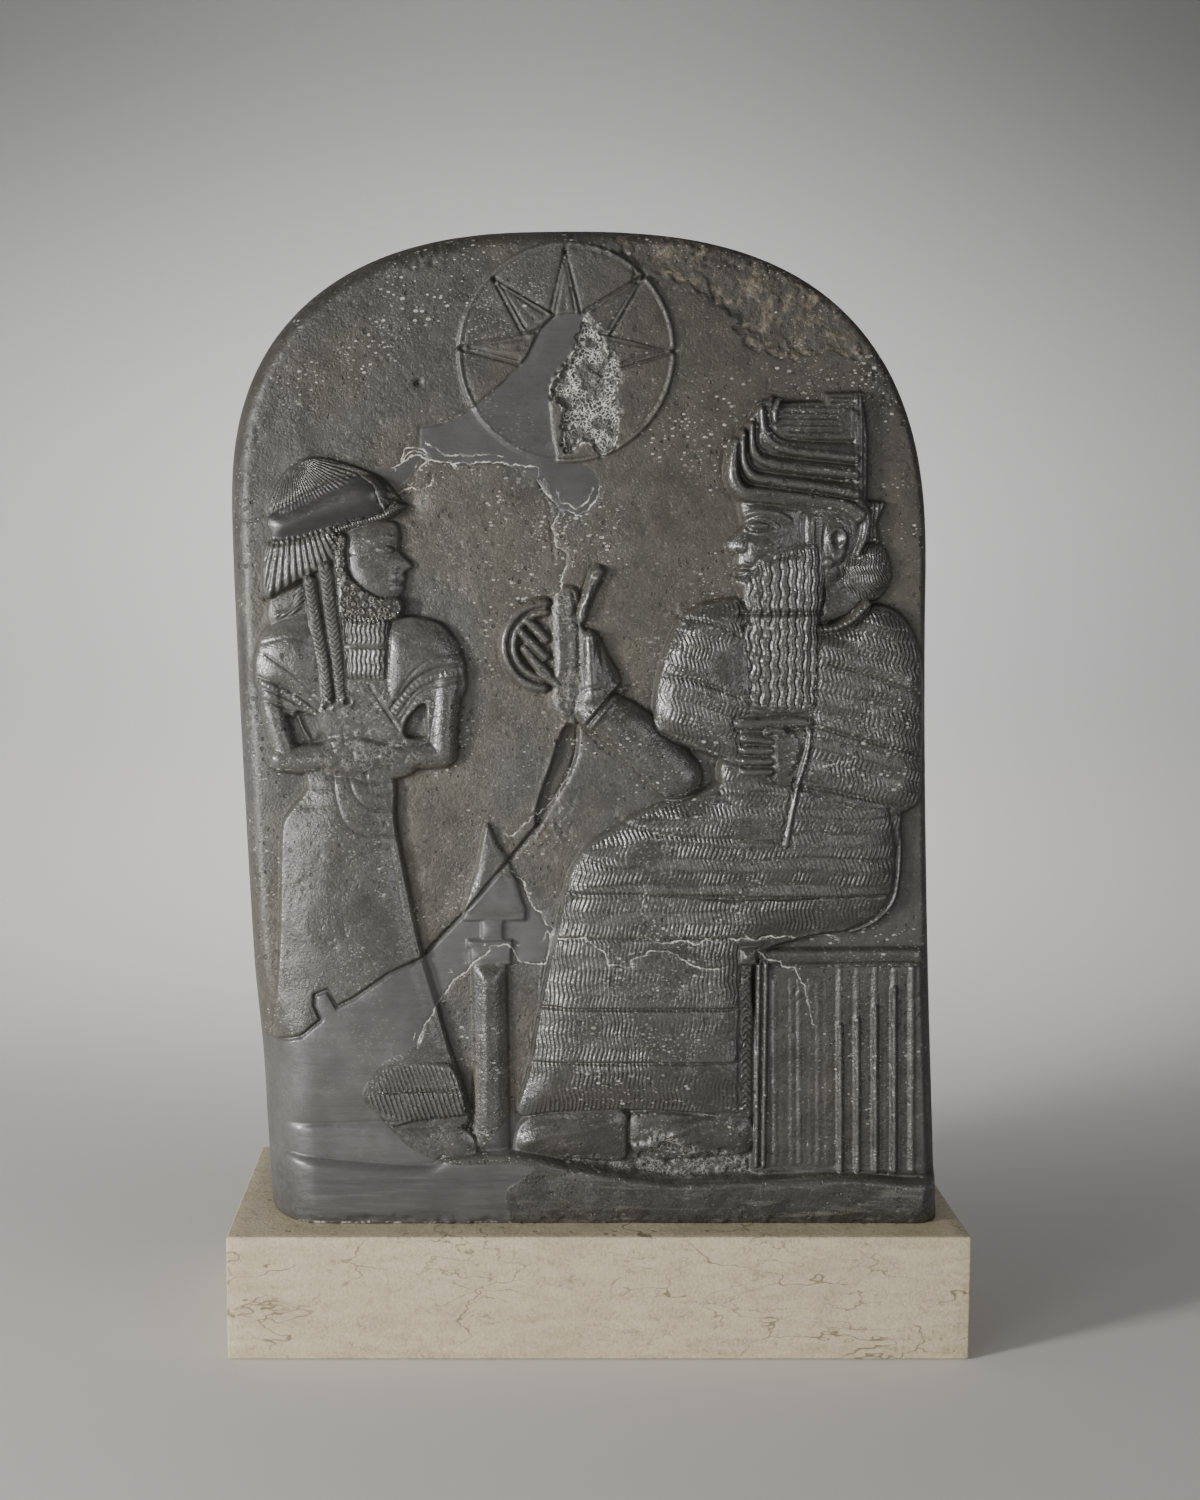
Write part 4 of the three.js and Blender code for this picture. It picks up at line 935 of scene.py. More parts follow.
def carve_face(pitch):
    """All the carving, the wear on it, and the maps that its stone is coloured by."""
    relief = Relief(pitch)
    fills = np.full(relief.U.shape, -EDGE_REACH)
    for points in REPAIRS:
        where, inside, _, _ = relief.distance(soften(points, spacing=4), margin=EDGE_REACH)
        fills[where] = np.maximum(fills[where], np.clip(inside, -EDGE_REACH, EDGE_REACH))
    whole = smoothstep(0.8, -0.8, fills)
    worn = np.clip(0.85 + 0.4 * relief.noise(16.0, 41), 0.12, 1.15)
    outline = [outline_point(RIGHT, s) for s in np.linspace(0, 1, 40)] + [outline_point(LEFT, s)
                                                                for s in np.linspace(0.97, 0, 40)]
    where, rim, _, _ = relief.distance(outline, margin=30)
    crowded = np.zeros(relief.U.shape)
    crowded[where] = smoothstep(26.0, 10.0, rim) * smoothstep(-2.0, 4.0, rim)
    relief.coarse = crowded * smoothstep(400, 520, relief.V) * smoothstep(-0.6, 0.8, relief.noise(26.0, 42))
    worn *= 1.0 - 0.1 * smoothstep(185, 120, relief.V) * smoothstep(10, 90, relief.U)

    carve_ground(relief)
    carve_sky(relief)
    sky = (relief.V > 470) & (fills > -1)
    plate = 0.8 * (np.hypot(relief.U - DISC_AT[0], relief.V - DISC_AT[1]) < DISC_RADIUS)
    relief.height = np.where(sky, relief.height * whole + relief.blurred(plate, 0.8) * (1 - whole),
                             relief.height)
    carve_post(relief)
    carve_seat(relief)
    carve_offering(relief)
    carve_standing(relief)
    carve_seated(relief, worn)
    patched = smoothstep(-0.5, 0.8, fills) * (relief.V < 300) * smoothstep(-90, -95, relief.U)
    relief.height = relief.height * (1 - patched) + relief.blurred(relief.height, 1.6) * patched
    relief.combed *= np.where(fills > 0.5, 0.0, 1.0)
    carve_fringe(relief)
    damage(relief)
    pitted(relief, whole)
    relief.height += whole * 0.2 * relief.noise(14.0, 53) + 0.25 * relief.noise(60.0, 55)
    relief.height -= 2.4 * smoothstep(7.0, 0.0, relief.V + 1.2 * relief.noise(5.0, 56)) ** 2
    relief.height = relief.blurred(relief.height, 0.32)

    # Painted shade: the stone is darkened in hollows and at the foot of raised forms, where shade falls.
    # This joins the dirt and painted shade of the grooves and joints, and is weaker on the fills.
    hollow = relief.blurred(relief.height, 2.2) - relief.height
    fine_hollow = relief.blurred(relief.height, 1.2) - relief.height
    shadowed = smoothstep(0.5, 2.0, hollow) * 0.42 + smoothstep(0.12, 0.5, fine_hollow) * 0.45
    relief.soil = np.clip(np.maximum(relief.soil, shadowed) * (0.4 + 0.6 * whole), 0, 1)
    relief.chalk = np.maximum(relief.chalk, 0.55 * smoothstep(3.0, 1.0, relief.V) * smoothstep(40.0, -120.0,
                                                                relief.U))
    relief.chalk = np.clip(relief.chalk * (0.85 + 0.4 * relief.noise(3.0, 57)), 0, 1)
    # Painted highlight on crests and convex edges, which are also polished by wear.
    relief.shine = np.clip(smoothstep(0.15, 1.2, -hollow) * 0.8 + smoothstep(0.1, 0.4, -fine_hollow) * 0.4,
                           0, 1)
    relief.raised = smoothstep(2.5, 6.5, relief.blurred(relief.height, 1.5))
    relief.fills = fills
    return relief


def outline_point(side, share):
    """A point of the slab's outline: share runs 0 to 1 up one hand, from the foot to the apex."""
    spring_u, spring_v = side["spring"]
    straight = 0.62
    if share < straight:
        t = share / straight
        return spring_u + (side["foot"] - spring_u) * (1 - t) ** side["flare"], spring_v * t
    angle = math.pi / 2 * (share - straight) / (1 - straight)
    return (APEX[0] + (spring_u - APEX[0]) * max(0.0, math.cos(angle)) ** (2 / side["power"]),
            spring_v + (APEX[1] - spring_v) * math.sin(angle) ** (2 / side["power"]))


def front_rounding(u, v):
    """How wide and how deep the front edge is rounded at a point of the outline."""
    leftness = smoothstep(-150.0, 200.0, -u)
    lowness = 1.0 - smoothstep(90.0, 170.0, v)
    low_right = (1.0 - leftness) * (1.0 - smoothstep(10.0, 60.0, v))
    low_left = leftness * lowness
    wide = 7.0 + 8.0 * leftness + 22.0 * low_left + 9.0 * low_right
    deep = 14.0 + 26.0 * leftness + 16.0 * low_left
    return wide, deep


def evenly(line, count):
    """The line as count + 1 points at equal distances."""
    steps = np.r_[0.0, np.cumsum(np.linalg.norm(np.diff(line, axis=0), axis=1))]
    at = np.linspace(0.0, steps[-1], count + 1)
    return np.stack([np.interp(at, steps, line[:, i]) for i in range(line.shape[1])], axis=1)


class Rim:
    """The outline with how far and how deep its edge is rounded, cut into the four sides of a sheet."""

    def __init__(self, columns, rows, back=False):
        dense = {}
        for name, side in (("left", LEFT), ("right", RIGHT)):
            line = np.array([outline_point(side, s) for s in np.linspace(0, 1, 700)])
            dense[name] = evenly(line, 1400)
        whole = np.vstack([dense["right"], dense["left"][::-1][1:]])
        along = np.gradient(whole, axis=0)
        along /= np.linalg.norm(along, axis=1)[:, None]
        inward = np.stack([-along[:, 1], along[:, 0]], axis=1)
        if back:
            wide = np.full(len(whole), BACK_ROUNDING)
            deep = np.full(len(whole), BACK_ROUNDING)
        else:
            wide, deep = front_rounding(whole[:, 0], whole[:, 1])
        lean = inward * wide[:, None]
        near_foot = smoothstep(60.0, 0.0, whole[:, 1])[:, None]
        level = np.stack([np.sign(-whole[:, 0]) * wide, np.zeros(len(whole))], axis=1)
        lean = lean * (1 - near_foot) + level * near_foot
        rim = np.hstack([whole, lean, deep[:, None]])
        half = len(dense["right"]) - 1
        corner_right, corner_left = int(half * 0.74), int(half * 1.2)
        self.right = evenly(rim[: corner_right + 1], rows)
        self.top = evenly(rim[corner_right: corner_left + 1], columns)[::-1]
        self.left = evenly(rim[corner_left:], rows)[::-1]
        share = np.linspace(0, 1, columns + 1)[:, None]
        self.bottom = self.left[0] * (1 - share) + self.right[0] * share
        self.columns, self.rows = columns, rows

    def sheet(self, s, t):
        """Rim values carried over the whole sheet, s to the right and t upwards, both counted in cells."""
        i, j = s.astype(int), t.astype(int)
        s, t = (s / self.columns)[:, None], (t / self.rows)[:, None]
        flat = (1 - t) * self.bottom[i] + t * self.top[i] + (1 - s) * self.left[j] + s * self.right[j]
        flat -= ((1 - s) * (1 - t) * self.bottom[0] + s * (1 - t) * self.bottom[-1]
                 + (1 - s) * t * self.top[0] + s * t * self.top[-1])
        return flat


def sampled(field, relief, u, v):
    """A raster's value at points of the drawing."""
    column = np.clip((u - relief.u[0]) / relief.pitch, 0, len(relief.u) - 1.001)
    row = np.clip((v - relief.v[0]) / relief.pitch, 0, len(relief.v) - 1.001)
    i, j = column.astype(int), row.astype(int)
    x, y = column - i, row - j
    return ((field[j, i] * (1 - x) + field[j, i + 1] * x) * (1 - y)
            + (field[j + 1, i] * (1 - x) + field[j + 1, i + 1] * x) * y)


def placed(u, v, depth):
    """Drawing coordinates and a depth behind the face, as points in metres."""
    return np.stack([u * ACROSS, STONE_LOW.y + np.broadcast_to(depth, u.shape) * MM, STONE_LOW.z + v * UP],
                    axis=1)


def sheet_mesh(mesh, columns, rows, back):
    """A grid shaped to the slab's outline; its rim's values stay on its points for the edge that follows."""
    made = bmesh.ops.create_grid(mesh, x_segments=columns, y_segments=rows, size=1.0)["verts"]
    at = np.array([v.co for v in made])
    s = np.rint((at[:, 0] + 1) / 2 * columns)
    t = np.rint((at[:, 1] + 1) / 2 * rows)
    rim = Rim(columns, rows, back)
    values = rim.sheet(s, t)
    inside = values[:, :2] + values[:, 2:4]
    inside[:, 1] = np.maximum(inside[:, 1], 0.0)
    return made, values, inside


def extruded_ring(mesh, edges):
    """Extrudes an open edge once, and gives the new points and the new open edge."""
    made = bmesh.ops.extrude_edge_only(mesh, edges=edges)["geom"]
    verts = [g for g in made if isinstance(g, bmesh.types.BMVert)]
    return verts, [g for g in made if isinstance(g, bmesh.types.BMEdge) and g.is_boundary]


def build_stone(relief):
    """The slab as one closed mesh: the carved front, its rounded edge, the sides and the back."""
    coarse = 1
    columns, rows = (count // coarse for count in FRONT_GRID)
    thickness = (STONE_HIGH.y - STONE_LOW.y) / MM

    mesh = bmesh.new()
    rim_u = mesh.verts.layers.float_vector.new("rim")
    rim_lean = mesh.verts.layers.float_vector.new("lean")

    def note_rim(vert, value):
        vert[rim_u] = value[:3]
        vert[rim_lean] = (value[3], value[4], 0.0)

    def rim_of(verts):
        """At each point of a ring: the outline's u and v, the rounding's way inwards, and its depth."""
        return np.array([(*v[rim_u], v[rim_lean][0], v[rim_lean][1]) for v in verts])

    def rounded(kept, turn):
        """Where a ring of a rounded edge lies in the drawing, `turn` radians round from the flat."""
        lean = 1 - math.sin(turn)
        return kept[:, 0] + kept[:, 2] * lean, np.maximum(0.0, kept[:, 1] + kept[:, 3] * lean)

    def put(verts, places):
        for vert, place in zip(verts, places):
            vert.co = place

    made, values, inside = sheet_mesh(mesh, columns, rows, False)
    height = sampled(relief.height, relief, inside[:, 0], inside[:, 1])
    put(made, placed(inside[:, 0], inside[:, 1], FACE_DEPTH - height))
    for vert, value in zip(made, values):
        if vert.is_boundary:
            note_rim(vert, value)
    edges = [e for e in mesh.edges if e.is_boundary]
    steps = EDGE_STEPS // coarse
    side_depth = thickness - BACK_ROUNDING
    for k in range(1, steps + 1):
        turn = math.pi / 2 * k / steps
        verts, edges = extruded_ring(mesh, edges)
        kept = rim_of(verts)
        u, v = rounded(kept, turn)
        height = sampled(relief.height, relief, u, v) * math.cos(turn)
        put(verts, placed(u, v, FACE_DEPTH + kept[:, 4] * (1 - math.cos(turn)) - height))
    for k in range(1, SIDE_STEPS + 1):
        verts, edges = extruded_ring(mesh, edges)
        kept = rim_of(verts)
        start = kept[:, 4] + FACE_DEPTH
        depth = start + (side_depth - start) * k / SIDE_STEPS
        put(verts, placed(kept[:, 0], np.maximum(0.0, kept[:, 1]), depth))
    front_edges = edges

    made, values, inside = sheet_mesh(mesh, *BACK_GRID, True)
    fresh = set(made)
    put(made, placed(inside[:, 0], inside[:, 1], np.full(len(made), thickness)))
    for vert, value in zip(made, values):
        note_rim(vert, value)
    bmesh.ops.reverse_faces(mesh, faces=[f for f in mesh.faces if f.verts[0] in fresh])
    edges = [e for e in mesh.edges if e.is_boundary and e.verts[0] in fresh]
    for degrees in BACK_TURNS:
        turn = math.radians(degrees)
        verts, edges = extruded_ring(mesh, edges)
        u, v = rounded(rim_of(verts), turn)
        put(verts, placed(u, v, thickness - BACK_ROUNDING * (1 - math.cos(turn))))
    bmesh.ops.bridge_loops(mesh, edges=front_edges + edges)
    return mesh


def thinned(piece, triangles):
    """Applies a Decimate modifier that keeps the carving and saves on the plain ground."""
    now = sum(len(p.vertices) - 2 for p in piece.data.polygons)
    if now <= triangles:
        return
    modifier = piece.modifiers.new("thin", "DECIMATE")
    modifier.ratio = triangles / now
    modifier.use_collapse_triangulate = True
    shape = piece.evaluated_get(bpy.context.evaluated_depsgraph_get())
    kept = bpy.data.meshes.new_from_object(shape)
    old = piece.data
    piece.modifiers.clear()
    piece.data = kept
    bpy.data.meshes.remove(old)
    kept.name = piece.name


def note_surface(piece, relief):
    """Writes what the surface is made of, and its painted shade and highlights, onto the mesh, for the
    stone's shader.
    """
    mesh = piece.data
    at = np.empty(len(mesh.vertices) * 3)
    mesh.vertices.foreach_get("co", at)
    at = at.reshape(-1, 3)
    facing = np.empty(len(mesh.vertices) * 3)
    mesh.vertex_normals.foreach_get("vector", facing)
    facing = facing.reshape(-1, 3)
    u, v = at[:, 0] / ACROSS, (at[:, 2] - STONE_LOW.z) / UP
    depth = (at[:, 1] - STONE_LOW.y) / MM
    front = smoothstep(0.2, 0.6, -facing[:, 1]) * smoothstep(60.0, 40.0, depth)
    through = np.maximum(front, smoothstep(260.0, 240.0, v))
    away = {"fills": -EDGE_REACH, "flake": -EDGE_REACH, "crack": CRACK_REACH}
    for name in (*away, "soil", "chalk", "shine", "broken", "strand", "row", "swing", "combed", "curled",
                 "jointed",
                 "coarse", "raised"):
        value = sampled(getattr(relief, name), relief, u, v)
        shown = through if name == "fills" else front
        value = away.get(name, 0.0) * (1 - shown) + value * shown
        mesh.attributes.new(name, "FLOAT", "POINT").data.foreach_set("value", value.astype(np.float32))


class Value:
    """A shader socket that carries a number, on which Python's operators work."""

    def __init__(self, finish, socket):
        self.finish, self.socket = finish, socket

    def math(self, operation, *others):
        inputs = dict(enumerate((self, *others)))
        return Value(self.finish, self.finish.node("ShaderNodeMath", {"operation": operation},
                                                   inputs).outputs[0])

    def __add__(self, other):
        return self.math("ADD", other)

    __radd__ = __add__

    def __sub__(self, other):
        return self.math("SUBTRACT", other)

    def __rsub__(self, other):
        return (self * -1.0) + other

    def __mul__(self, other):
        return self.math("MULTIPLY", other)

    __rmul__ = __mul__

    def __truediv__(self, other):
        return self.math("DIVIDE", other)

    def __pow__(self, other):
        return self.math("POWER", other)

    def larger(self, other):
        return self.math("MAXIMUM", other)

    def step(self, low, high):
        """A soft step from 0 at `low` to 1 at `high`."""
        made = self.finish.node("ShaderNodeMapRange", {"interpolation_type": "SMOOTHSTEP"},
                                {"Value": self, "From Min": low, "From Max": high})
        return Value(self.finish, made.outputs["Result"])


class Finish:
    """A node material."""

    def __init__(self, name):
        self.material = bpy.data.materials.new(name)
        self.material.use_nodes = True
        self.tree = self.material.node_tree
        self.tree.nodes.clear()
        self.place = self.node("ShaderNodeTexCoord").outputs["Object"]

    def node(self, kind, settings=None, sockets=None):
        made = self.tree.nodes.new(kind)
        for name, value in (settings or {}).items():
            if name == "stops":
                for stop, (at, colour) in zip(self._stops(made, len(value)), value):
                    stop.position = at
                    stop.color = (*colour, 1.0)
            else:
                setattr(made, name, value)
        for name, value in (sockets or {}).items():
            if isinstance(value, Value):
                value = value.socket
            if isinstance(value, bpy.types.NodeSocket):
                self.tree.links.new(value, made.inputs[name])
            else:
                made.inputs[name].default_value = value
        return made

    def _stops(self, ramp, count):
        stops = ramp.color_ramp.elements
        while len(stops) < count:
            stops.new(1.0)
        return stops

    def noise(self, size, detail=2.0, rough=0.5, where=None, warp=0.0):
        """Noise from 0 to 1 whose lumps are about `size` metres across."""
        made = self.node("ShaderNodeTexNoise", {}, {"Vector": where or self.place, "Scale": 1.0 / size,
                                                    "Detail": detail,
                                                    "Roughness": rough, "Distortion": warp})
        return Value(self, made.outputs["Fac"])

    def cells(self, size, where=None, feature="F1"):
        made = self.node("ShaderNodeTexVoronoi", {"feature": feature},
                         {"Vector": where or self.place, "Scale": 1.0 / size})
        return Value(self, made.outputs["Distance"])

    def spots(self, size, rare, largest, where=None):
        """Round spots in some of the cells; the more `rare`, the fewer of them."""
        distance = self.cells(size, where)
        chance = Value(self, distance.socket.node.outputs["Color"])
        reach = (chance - rare) * (largest / (0.85 - rare))
        return (reach - distance).step(0.0, 0.07)

    def attribute(self, name):
        return Value(self, self.node("ShaderNodeAttribute", {"attribute_name": name}).outputs["Fac"])

    def mixed(self, amount, one, other, blend="MIX"):
        """Two colours mixed by a value."""
        made = self.node("ShaderNodeMix", {"data_type": "RGBA", "blend_type": blend},
                         {0: amount, 6: one, 7: other})
        return made.outputs[2]

    def grey(self, value):
        return self.node("ShaderNodeCombineColor", {}, {"Red": value, "Green": value,
                                                        "Blue": value}).outputs[0]

    def moved(self, stretch, shift=None, turn=(0.0, 0.0, 0.0)):
        made = self.node("ShaderNodeMapping", {}, {"Vector": self.place, "Scale": stretch, "Rotation": turn,
                                                   "Location": shift or (0.0, 0.0, 0.0)})
        return made.outputs["Vector"]

    def pushed(self, where, amount, size):
        """Coordinates pushed about by noise, so that a pattern on them wanders."""
        lumps = self.node("ShaderNodeTexNoise", {}, {"Vector": where, "Scale": 1.0 / size,
                                                     "Detail": 3.0}).outputs["Color"]
        centred = self.node("ShaderNodeVectorMath", {"operation": "SUBTRACT"},
                            {0: lumps, 1: (0.5, 0.5, 0.5)}).outputs[0]
        scaled = self.node("ShaderNodeVectorMath", {"operation": "SCALE"},
                           {0: centred, "Scale": amount}).outputs[0]
        return self.node("ShaderNodeVectorMath", {"operation": "ADD"}, {0: where, 1: scaled}).outputs[0]

    def bump(self, height, distance, strength=1.0, over=None):
        sockets = {"Height": height, "Distance": distance, "Strength": strength}
        if over:
            sockets["Normal"] = over
        return self.node("ShaderNodeBump", {}, sockets).outputs["Normal"]

    def surface(self, colour, roughness, normal=None, **constants):
        sockets = {"Base Color": colour, "Roughness": roughness}
        if normal:
            sockets["Normal"] = normal
        sockets.update(constants)
        shader = self.node("ShaderNodeBsdfPrincipled", {}, sockets)
        self.node("ShaderNodeOutputMaterial", {}, {"Surface": shader.outputs[0]})
        return self.material


def rgba(colour):
    return (*colour[:3], 1.0)


def shade(colour, factor, warm=0.0):
    """A colour made lighter or darker, and warmer or cooler."""
    r, g, b = colour[:3]
    return (r * factor * (1 + warm), g * factor * (1 + 0.25 * warm), b * factor * (1 - warm), 1.0)


def dark_stone(settings):
    finish = Finish("dark_stone")
    stone, fill = settings.colour, settings.fill_colour
    patched = finish.attribute("fills").step(-0.5, 0.6)
    bare = 1.0 - patched
    flaked = finish.attribute("flake").step(-0.6, 0.8) * bare
    soil, chalk, shine, broken = (finish.attribute(n) for n in ("soil", "chalk", "shine", "broken"))
    combed, curled, coarse, raised = (finish.attribute(n) for n in ("combed", "curled", "coarse", "raised"))

    place = finish.node("ShaderNodeSeparateXYZ", {}, {"Vector": finish.place})
    right, up = Value(finish, place.outputs["X"]), Value(finish, place.outputs["Z"])
    broad = finish.noise(0.15, 3.0, 0.55)
    mottle = finish.noise(0.022, 3.0, 0.6)
    grain = finish.noise(0.0015, 2.0, 0.6).step(0.3, 0.7)
    sand = finish.noise(0.0042, 3.0, 0.6).step(0.32, 0.68)
    veiled = finish.noise(0.05, 3.0, 0.62)
    clusters = veiled.step(0.48, 0.62).larger(coarse)
    level = finish.moved((1.0, 1.0, 1.6), (0.31, 0.17, 0.05))
    jointed = finish.attribute("jointed")
    low = 1.0 - up.step(0.108, 0.122)
    hole = finish.spots(0.0044, 0.46, 0.40) * clusters.larger(finish.noise(0.03, 2.0).step(0.50,
                                                                0.62) * 0.8)
    pit = hole.larger(finish.spots(0.0027, 0.62, 0.34) * 0.7) * (1.0 - low * 0.6)
    fleck = finish.spots(0.0040, 0.50, 0.36, level) * clusters.larger(jointed).larger(0.12) * (1.0 - low
                                                                * 0.7)
    dust = finish.spots(0.0022, 0.42, 0.38, level) * veiled.step(0.40,
                                                                0.58).larger(coarse).larger(jointed) * (1.0
                                                                - low * 0.8)

    # Strands of cloth and hair, and ringlets.
    zigzag = ((finish.attribute("row") * (2 * math.pi)).math("SINE") * 0.97).math("ARCSINE") * 0.754
    strand = finish.attribute("strand") + finish.attribute("swing") * zigzag + (finish.noise(0.006,
                                                                2.0) - 0.5) * 0.5
    ridge = ((strand * (2 * math.pi)).math("COSINE") * -0.5 + 0.5) ** 0.8
    ridge = ridge * (1.0 - (zigzag * finish.attribute("swing")).math("ABSOLUTE").step(0.28, 0.4) * 0.35)
    turn = finish.cells(0.0043, where=finish.moved((1.0, 0.3, 1.0)))
    ringlet = 1.0 - (turn - 0.36).math("ABSOLUTE").step(0.03, 0.19)

    # Partly real stain and partly painted shade: the stone darkens upwards, to the right and in the upper
    # left, where less light falls, and on the coarse rim.
    stain_and_shade = up.step(0.42, 0.70) * (0.34 - raised * 0.2) + right.step(-0.06, 0.10) * (0.24 + raised * 0.08)
    stain_and_shade = stain_and_shade + coarse * 0.2 + up.step(0.45, 0.62) * (1.0 - right.step(-0.2, 0.0)) * 0.16
    rubbed = finish.noise(0.012, 4.0, 0.7).step(0.42, 0.62)
    tone = 0.71 + grain * 0.2 + sand * (0.06 + veiled.step(0.4, 0.6) * 0.22) + (rubbed - 0.5) * 0.2
    # Painted light: raised forms on the left are lightened, as if lit from the left.
    tone = tone + (mottle - 0.5) * (1.0 - raised * 0.4) * 0.8 + raised * (1.0 - right.step(-0.2,
                                                                -0.06)) * 0.2
    tone = tone * (1.0 - stain_and_shade) * (1.0 - (1.0 - up.step(0.10, 0.14)) * 0.15)
    warm = finish.noise(0.09, 2.0).step(0.42, 0.70).larger(right.step(-0.08, 0.08) * up.step(0.3, 0.5))
    colour = finish.mixed(broad.step(0.3, 0.7), shade(stone, 0.90, 0.03), shade(stone, 1.08, 0.0))
    colour = finish.mixed((1.0 - raised) * (0.05 + warm * 0.6), colour, shade(stone, 1.16, 0.22))
    colour = finish.mixed(1.0, colour, finish.grey(tone), "MULTIPLY")
    lichen = finish.noise(0.011, 5.0, 0.65, warp=0.6).step(0.47, 0.60) * (0.4 + sand * 0.8)
    colour = finish.mixed(flaked * (0.15 + lichen * 0.6), colour, shade(stone, 1.7, 0.22))
    colour = finish.mixed(flaked * (1.0 - lichen) * 0.7, colour, shade(stone, 0.45, 0.1))
    # Dirt and painted shade in hollows, grooves and joints, darkened towards a warm near-black.
    colour = finish.mixed(soil * (0.58 + warm * 0.25), colour, shade(stone, 0.26, 0.22))
    # Painted shade with dirt between strands and ringlets, and painted highlight with dust on their crests.
    colour = finish.mixed(combed * (1.0 - ridge) * 0.62, colour, shade(stone, 0.4, 0.12))
    colour = finish.mixed(combed * ridge.step(0.6, 1.0) * 0.22, colour, shade(stone, 2.2, 0.0))
    colour = finish.mixed(curled * (1.0 - ringlet) * 0.8, colour, shade(stone, 0.25, 0.2))
    colour = finish.mixed(curled * ringlet * 0.35, colour, shade(stone, 2.4, 0.1))
    # Painted highlight on crests and convex edges.
    colour = finish.mixed(shine * 0.25, colour, shade(stone, 2.0, -0.02))
    colour = finish.mixed(pit * 0.8, colour, shade(stone, 0.22, 0.1))
    colour = finish.mixed(broken * 0.85, colour, shade(stone, 0.55, 0.0))
    white = (fleck * 0.8).larger(dust * 0.42)

    fill_tone = finish.mixed(finish.noise(0.03, 3.0).step(0.35, 0.68), shade(fill, 0.84), shade(fill, 1.12))
    brushed = finish.noise(0.0035, 3.0, 0.6, where=finish.moved((0.09, 1.0, 1.0)))
    streaked = 0.25 + low * 0.5
    fill_tone = finish.mixed(brushed.step(0.5, 0.75) * streaked, fill_tone, shade(fill, 1.6, 0.0))
    fill_tone = finish.mixed(brushed.step(0.5, 0.3) * streaked, fill_tone, shade(fill, 0.55, 0.0))
    colour = finish.mixed(brushed.step(0.50, 0.72) * low * 0.5, colour, shade(stone, 2.2, 0.04))
    colour = finish.mixed(brushed.step(0.48, 0.3) * low * 0.45, colour, shade(stone, 0.45, 0.0))
    fill_tone = finish.mixed(finish.noise(0.006, 3.0).step(0.52, 0.72) * 0.35, fill_tone,
                             shade(fill, 0.66, 0.04))
    # Painted shade with dirt in the hollows of the fills.
    fill_tone = finish.mixed(soil * 0.55, fill_tone, shade(fill, 0.42, 0.1))
    # Painted light and shade: the fills are lighter low down, where more light falls, and darker upwards,
    # most on raised fills.
    fill_tone = finish.mixed(1.0, fill_tone, finish.grey(1.16 - up.step(0.25,
                                                                0.52) * (0.55 + raised * 0.2)), "MULTIPLY")
    fill_tone = finish.mixed(low * 0.45, fill_tone, shade(fill, 0.55))
    colour = finish.mixed(patched, colour, fill_tone)
    white = (white * bare).larger(dust * patched * 0.12)
    net = finish.cells(0.0030, where=finish.pushed(finish.place, 0.006, 0.003), feature="DISTANCE_TO_EDGE")
    crystal = broken * (1.0 - net.step(0.03, 0.11)) * (0.1 + finish.noise(0.010, 3.0).step(0.46,
                                                                0.58) * 0.9)
    wander = (finish.noise(0.0028, 3.0, 0.6) - 0.5) * 3.2
    joint = 1.0 - (finish.attribute("crack") + wander).math("ABSOLUTE").step(0.15, 0.6)
    joint = joint * jointed.step(0.3, 0.6) * (0.2 + finish.noise(0.007, 2.0).step(0.40, 0.58) * 0.8)
    white = (white * 0.8).larger(crystal).larger(joint).larger((chalk * (0.35 + sand * 1.2)).step(0.35,
                                                                0.85) * 0.6)
    colour = finish.mixed(white, colour, shade(stone, 8.0, 0.01))

    roughness = 0.50 - raised * (0.22 - patched * 0.1) + (grain - 0.5) * 0.12 + (mottle
                                                                - 0.5) * 0.3 - shine * 0.05 + soil * 0.2
    roughness = roughness + flaked * 0.12 + white * 0.25 + pit * 0.2 + coarse * 0.15
    relief = (grain * 0.14 + sand * 0.1 + mottle * 0.45) * (1.0 - 0.7 * patched) * (1.0 - 0.5
                                                                * raised) - hole * bare * 1.2
    relief = relief + (fleck * 0.7 + rubbed * 0.25) * bare + (flaked * 0.4 + broken * 0.6) * sand
    relief = relief + combed * ridge * 0.75 + curled * ringlet * 1.2
    relief = relief + brushed * patched.larger(low) * 0.35
    normal = finish.bump(relief, 0.0007, 0.9)
    return finish.surface(colour, roughness, normal, **{"IOR": 1.6})


